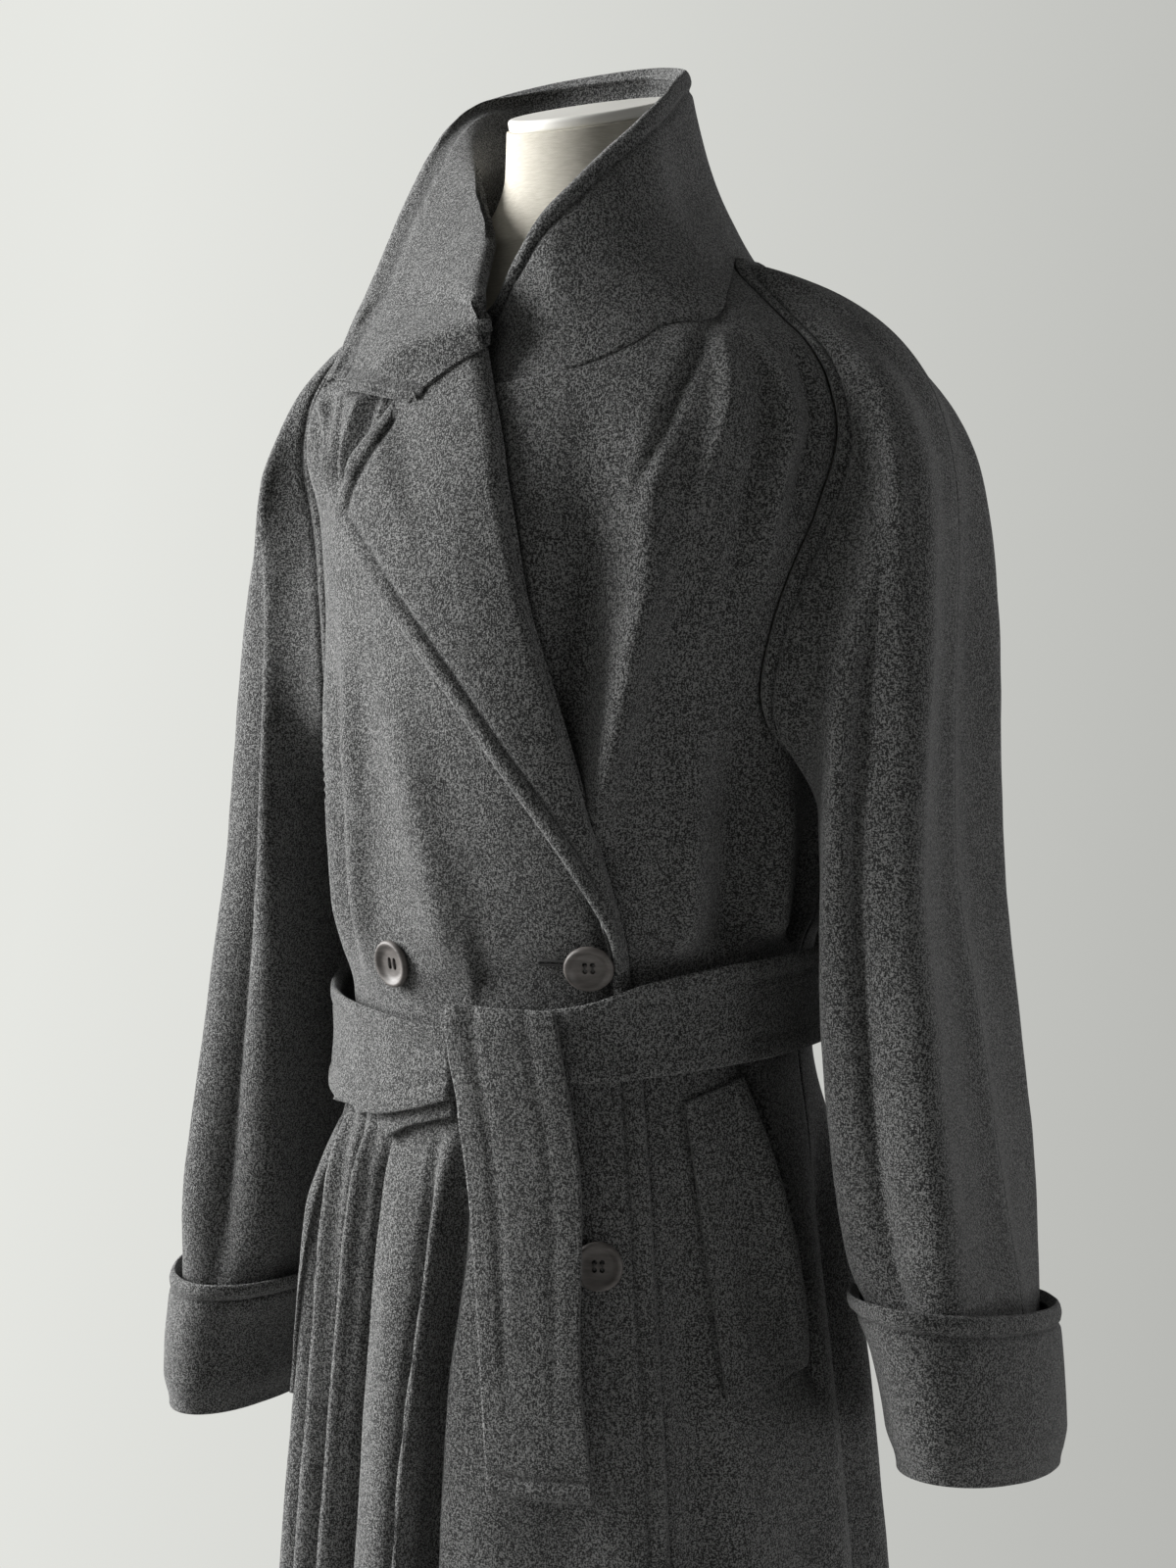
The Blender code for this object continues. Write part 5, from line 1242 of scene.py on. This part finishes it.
def makeButton(name, angle, height, room):
    whole = addObject(name + "Body", turned(buttons["profile"], buttons["steps"]))
    spacing, radius = buttons["holeSpacing"], buttons["holeRadius"]
    bm = bmesh.new()
    for stepX in (-0.5, 0.5):
        for stepY in (-0.5, 0.5):
            spot = Matrix.Translation((stepX * spacing, stepY * spacing, buttons["drillUp"]))
            bmesh.ops.create_cone(bm, cap_ends=True, segments=buttons["holeSides"], radius1=radius,
                                  radius2=radius, depth=buttons["drillDepth"], matrix=spot)
    cut = whole.modifiers.new("holes", "BOOLEAN")
    cut.object = addObject(name + "Drill", bm)
    cut.operation = "DIFFERENCE"
    drill = cut.object
    bm = takeMesh(whole)
    bpy.data.objects.remove(drill)
    place = surfaceFrame(angle, height, room)
    bmesh.ops.transform(bm, matrix=place, verts=bm.verts)
    finishPiece(name + "Face", bm, horn, name)
    bm = bmesh.new()
    size = Matrix.Diagonal((buttons["threadRadius"], spacing * buttons["threadShare"],
                            buttons["threadArch"], 1.0))
    for stepX in (-0.5, 0.5):
        for strand in (-buttons["strand"], buttons["strand"]):
            made = bmesh.ops.create_uvsphere(bm, u_segments=10, v_segments=14, radius=1.0)
            shift = Matrix.Translation((stepX * spacing + strand, 0.0, buttons["threadUp"]))
            bmesh.ops.transform(bm, matrix=place @ shift @ size, verts=made["verts"])
    finishPiece(name + "FaceThread", bm, threadGrey)


print("buttons")
for name, angle, height, room in buttons["places"]:
    makeButton(name, angle, height, room)

buttonholes = {
    "places": ((25.6, 1.0930, -11.0, 1.0), (25.5, 0.9280, -7.0, 6.2)),  # angle, height, from, to
    "halfWidth": 0.0011,
    "eye": 0.0021,
    "rim": 0.0009,
    "out": 0.0003,
    "points": 48,
    "squareness": 3.0,
    "eyeFrom": 0.8,
    "eyeReach": 0.15,
}


def buttonholeLine(angle, height, low, high):
    points = []
    for step in range(buttonholes["points"]):
        turn = math.tau * step / buttonholes["points"]
        inEye = ease((math.cos(turn) - buttonholes["eyeFrom"]) / buttonholes["eyeReach"])
        wide = mix(buttonholes["halfWidth"], buttonholes["eye"], inEye)
        side = min(1.0, abs(math.sin(turn)) * buttonholes["squareness"])
        spot = angle + mix(low, high, 0.5 + 0.5 * math.cos(turn))
        lift = wide * math.copysign(side, math.sin(turn))
        points.append(bodyPoint(spot, height + lift, rightLayer(spot) + buttonholes["out"]))
    return points


print("buttonholes")
for number, place in enumerate(buttonholes["places"]):
    rim = bpy.data.curves.new(f"buttonholeRim{number}", "CURVE")
    rim.dimensions = "3D"
    rim.bevel_depth = buttonholes["rim"]
    rim.bevel_resolution = 2
    points = buttonholeLine(*place)
    spline = rim.splines.new("POLY")
    spline.points.add(len(points) - 1)
    for spot, point in zip(spline.points, points):
        spot.co = (*point, 1.0)
    spline.use_cyclic_u = True
    holder = bpy.data.objects.new("rimHolder", rim)
    bpy.context.scene.collection.objects.link(holder)
    finishPiece(f"buttonholeRim{number}", takeMesh(holder), threadDark)


def torsoSize(height):
    if height > coat["neckSide"] + dressForm["neckAbove"]:
        return readRow(dressForm["neck"], height)
    return [size - room for size, room in
            zip(readRow(coat["sections"], height), readRow(dressForm["room"], height))]


def makeTorso():
    rings = dressForm["rings"]
    fine = dressForm["ringSteps"]
    count = (len(rings) - 1) * fine
    bm = bmesh.new()
    bmesh.ops.create_uvsphere(bm, u_segments=dressForm["sides"], v_segments=count + 2, radius=1.0)
    for vert in bm.verts:
        ring = round(math.acos(max(-1.0, min(1.0, -vert.co.z))) / math.pi * (count + 2))
        place = min(max((ring - 1) / fine, 0.0), len(rings) - 1.0)
        first = min(int(place), len(rings) - 2)
        height, share = [mix(low, high, place - first)
                         for low, high in zip(rings[first], rings[first + 1])]
        halfWidth, halfDepth = torsoSize(height)
        flat = Vector((vert.co.x, vert.co.y, 0.0)).normalized()
        if ring in (0, count + 2):
            flat = Vector()
        lean = ease((height - dressForm["leanFrom"]) / dressForm["leanReach"])
        centreX = mix(read(coat["sections"], height, 3), dressForm["neckCentre"], lean)
        x, y = centreX + flat.x * halfWidth * share, flat.y * halfDepth * share
        tilted = (height - dressForm["tiltFrom"]) / (dressForm["neckTop"] - dressForm["tiltFrom"])
        vert.co = Vector((x, y, height + dressForm["neckTilt"] * ease(tilted) * y))
    finishPiece("formTorso", bm, linen, "form_torso")


capShape = {
    "radius": 0.0474,
    "edge": 0.0022,
    "rim": 0.004,
    "dish": 0.018,
    "rise": 0.0012,
    "sides": 96,
}


def makeCap():
    bm = bmesh.new()
    bmesh.ops.create_cone(bm, cap_ends=True, segments=capShape["sides"], radius1=capShape["radius"],
                          radius2=capShape["radius"], depth=dressForm["capThick"])
    for thickness, depth in ((capShape["rim"], 0.0), (capShape["dish"], capShape["rise"])):
        top = [face for face in bm.faces if face.normal.z > 0.9 and len(face.verts) > 4]
        bmesh.ops.inset_region(bm, faces=top, thickness=thickness, depth=depth)
    sharp = [edge for edge in bm.edges if edge.is_manifold and edge.calc_face_angle() > 1.0]
    bmesh.ops.bevel(bm, geom=sharp, offset=capShape["edge"], offset_type="OFFSET", segments=4,
                    profile=0.5, material=-1, affect="EDGES", clamp_overlap=True)
    lean = math.atan(dressForm["neckTilt"])
    lift = (dressForm["capThick"] / 2.0 + cloth["seamGap"]) / math.cos(lean)
    place = Matrix.Translation((dressForm["neckCentre"], 0.0, dressForm["neckTop"] + lift))
    bmesh.ops.transform(bm, matrix=place @ Matrix.Rotation(lean, 4, "X"), verts=bm.verts)
    finishPiece("neckCap", bm, capFinish, "form_neck_cap")


print("dress form")
makeTorso()
makeCap()
finishPiece("standBase", turned(dressForm["baseProfile"], 128), enamelFinish, "stand_base")
poleRadius, poleEdge = dressForm["poleRadius"], dressForm["poleEdge"]
poleLow = dressForm["baseProfile"][0][1] + dressForm["poleRoom"]
poleHigh = dressForm["torsoBottom"] - dressForm["poleRoom"]
poleProfile = ((0.0, poleHigh), (poleRadius - poleEdge, poleHigh), (poleRadius, poleHigh - poleEdge),
               (poleRadius, poleLow + poleEdge), (poleRadius - poleEdge, poleLow), (0.0, poleLow))
finishPiece("standPole", turned(poleProfile, 48), steelFinish, "stand_pole")

print("floor, lights and camera")
studio = {
    "floorRadius": 1.3,
    "floorColour": (0.50, 0.50, 0.49),
    "wallColour": (0.99, 1.0, 0.955),
    "wallStrength": 0.63,
    "wallFall": 0.64,
    "wallBrightest": 0.80,
    "wallDarkest": 0.42,
    "brightSide": (-0.88, -0.40, 0.15),
    "roomStrength": 0.12,
    "roomFall": 0.15,
    "lamps": (  # name, place, size, power
        ("windowKey", (-2.42, -0.80, 1.95), 1.8, 225.0),
        ("softFill", (0.2, -3.0, 1.5), 2.0, 4.0),
        ("sideFill", (2.4, -0.2, 0.6), 1.2, 13.0),
        ("backFill", (1.3, 2.5, 1.5), 1.8, 24.0),
    ),
    "aim": (0.0, 0.0, 1.15),
    "cameraPlace": (0.6244, -1.1743, 1.31),
    "cameraAim": (0.0, 0.0, 1.177),
    "lens": 52.0,
}
bm = bmesh.new()
bmesh.ops.create_circle(bm, cap_ends=True, segments=96, radius=studio["floorRadius"])
floorFinish, tree, shader, place = startMaterial("floorFinish", 0.85)
shader.inputs["Base Color"].default_value = (*studio["floorColour"], 1.0)
addObject("studioFloor", bm, floorFinish)


def makeAir():  # a pale wall for the camera and a dimmer, one-sided room for the light
    world = bpy.data.worlds.new("studioAir")
    bpy.context.scene.world = world
    world.use_nodes = True
    tree = world.node_tree
    ground = tree.nodes["Background"]
    side = tree.nodes.new("ShaderNodeVectorMath")
    side.operation = "DOT_PRODUCT"
    side.inputs[1].default_value = studio["brightSide"]
    tree.links.new(tree.nodes.new("ShaderNodeTexCoord").outputs["Generated"], side.inputs[0])
    # painted light on the wall the camera sees: lighter towards the bright side and darker away from it
    seen = scaled(tree, side.outputs["Value"], studio["wallFall"], studio["wallStrength"])
    seen = calc(tree, "MINIMUM", seen, studio["wallBrightest"])
    seen = calc(tree, "MAXIMUM", seen, studio["wallDarkest"])
    room = scaled(tree, side.outputs["Value"], studio["roomFall"], studio["roomStrength"])
    ray = tree.nodes.new("ShaderNodeLightPath").outputs["Is Camera Ray"]
    gain = calc(tree, "MULTIPLY", calc(tree, "SUBTRACT", seen, room), ray)
    tree.links.new(calc(tree, "ADD", room, gain), ground.inputs["Strength"])
    ground.inputs["Color"].default_value = (*studio["wallColour"], 1.0)


def addHolder(name, data, place, aim):
    holder = bpy.data.objects.new(name, data)
    holder.location = place
    holder.rotation_euler = (Vector(aim) - Vector(place)).to_track_quat("-Z", "Y").to_euler()
    bpy.context.scene.collection.objects.link(holder)
    return holder


makeAir()
for name, place, size, power in studio["lamps"]:
    lamp = bpy.data.lights.new(name, "AREA")
    lamp.shape = "SQUARE"
    lamp.size = size
    lamp.energy = power
    addHolder(name, lamp, place, studio["aim"])
lens = bpy.data.cameras.new("photoCamera")
lens.lens = studio["lens"]
lens.sensor_width = 36.0
bpy.context.scene.camera = addHolder("photoCamera", lens, studio["cameraPlace"], studio["cameraAim"])
bpy.context.scene.view_settings.view_transform = "Standard"
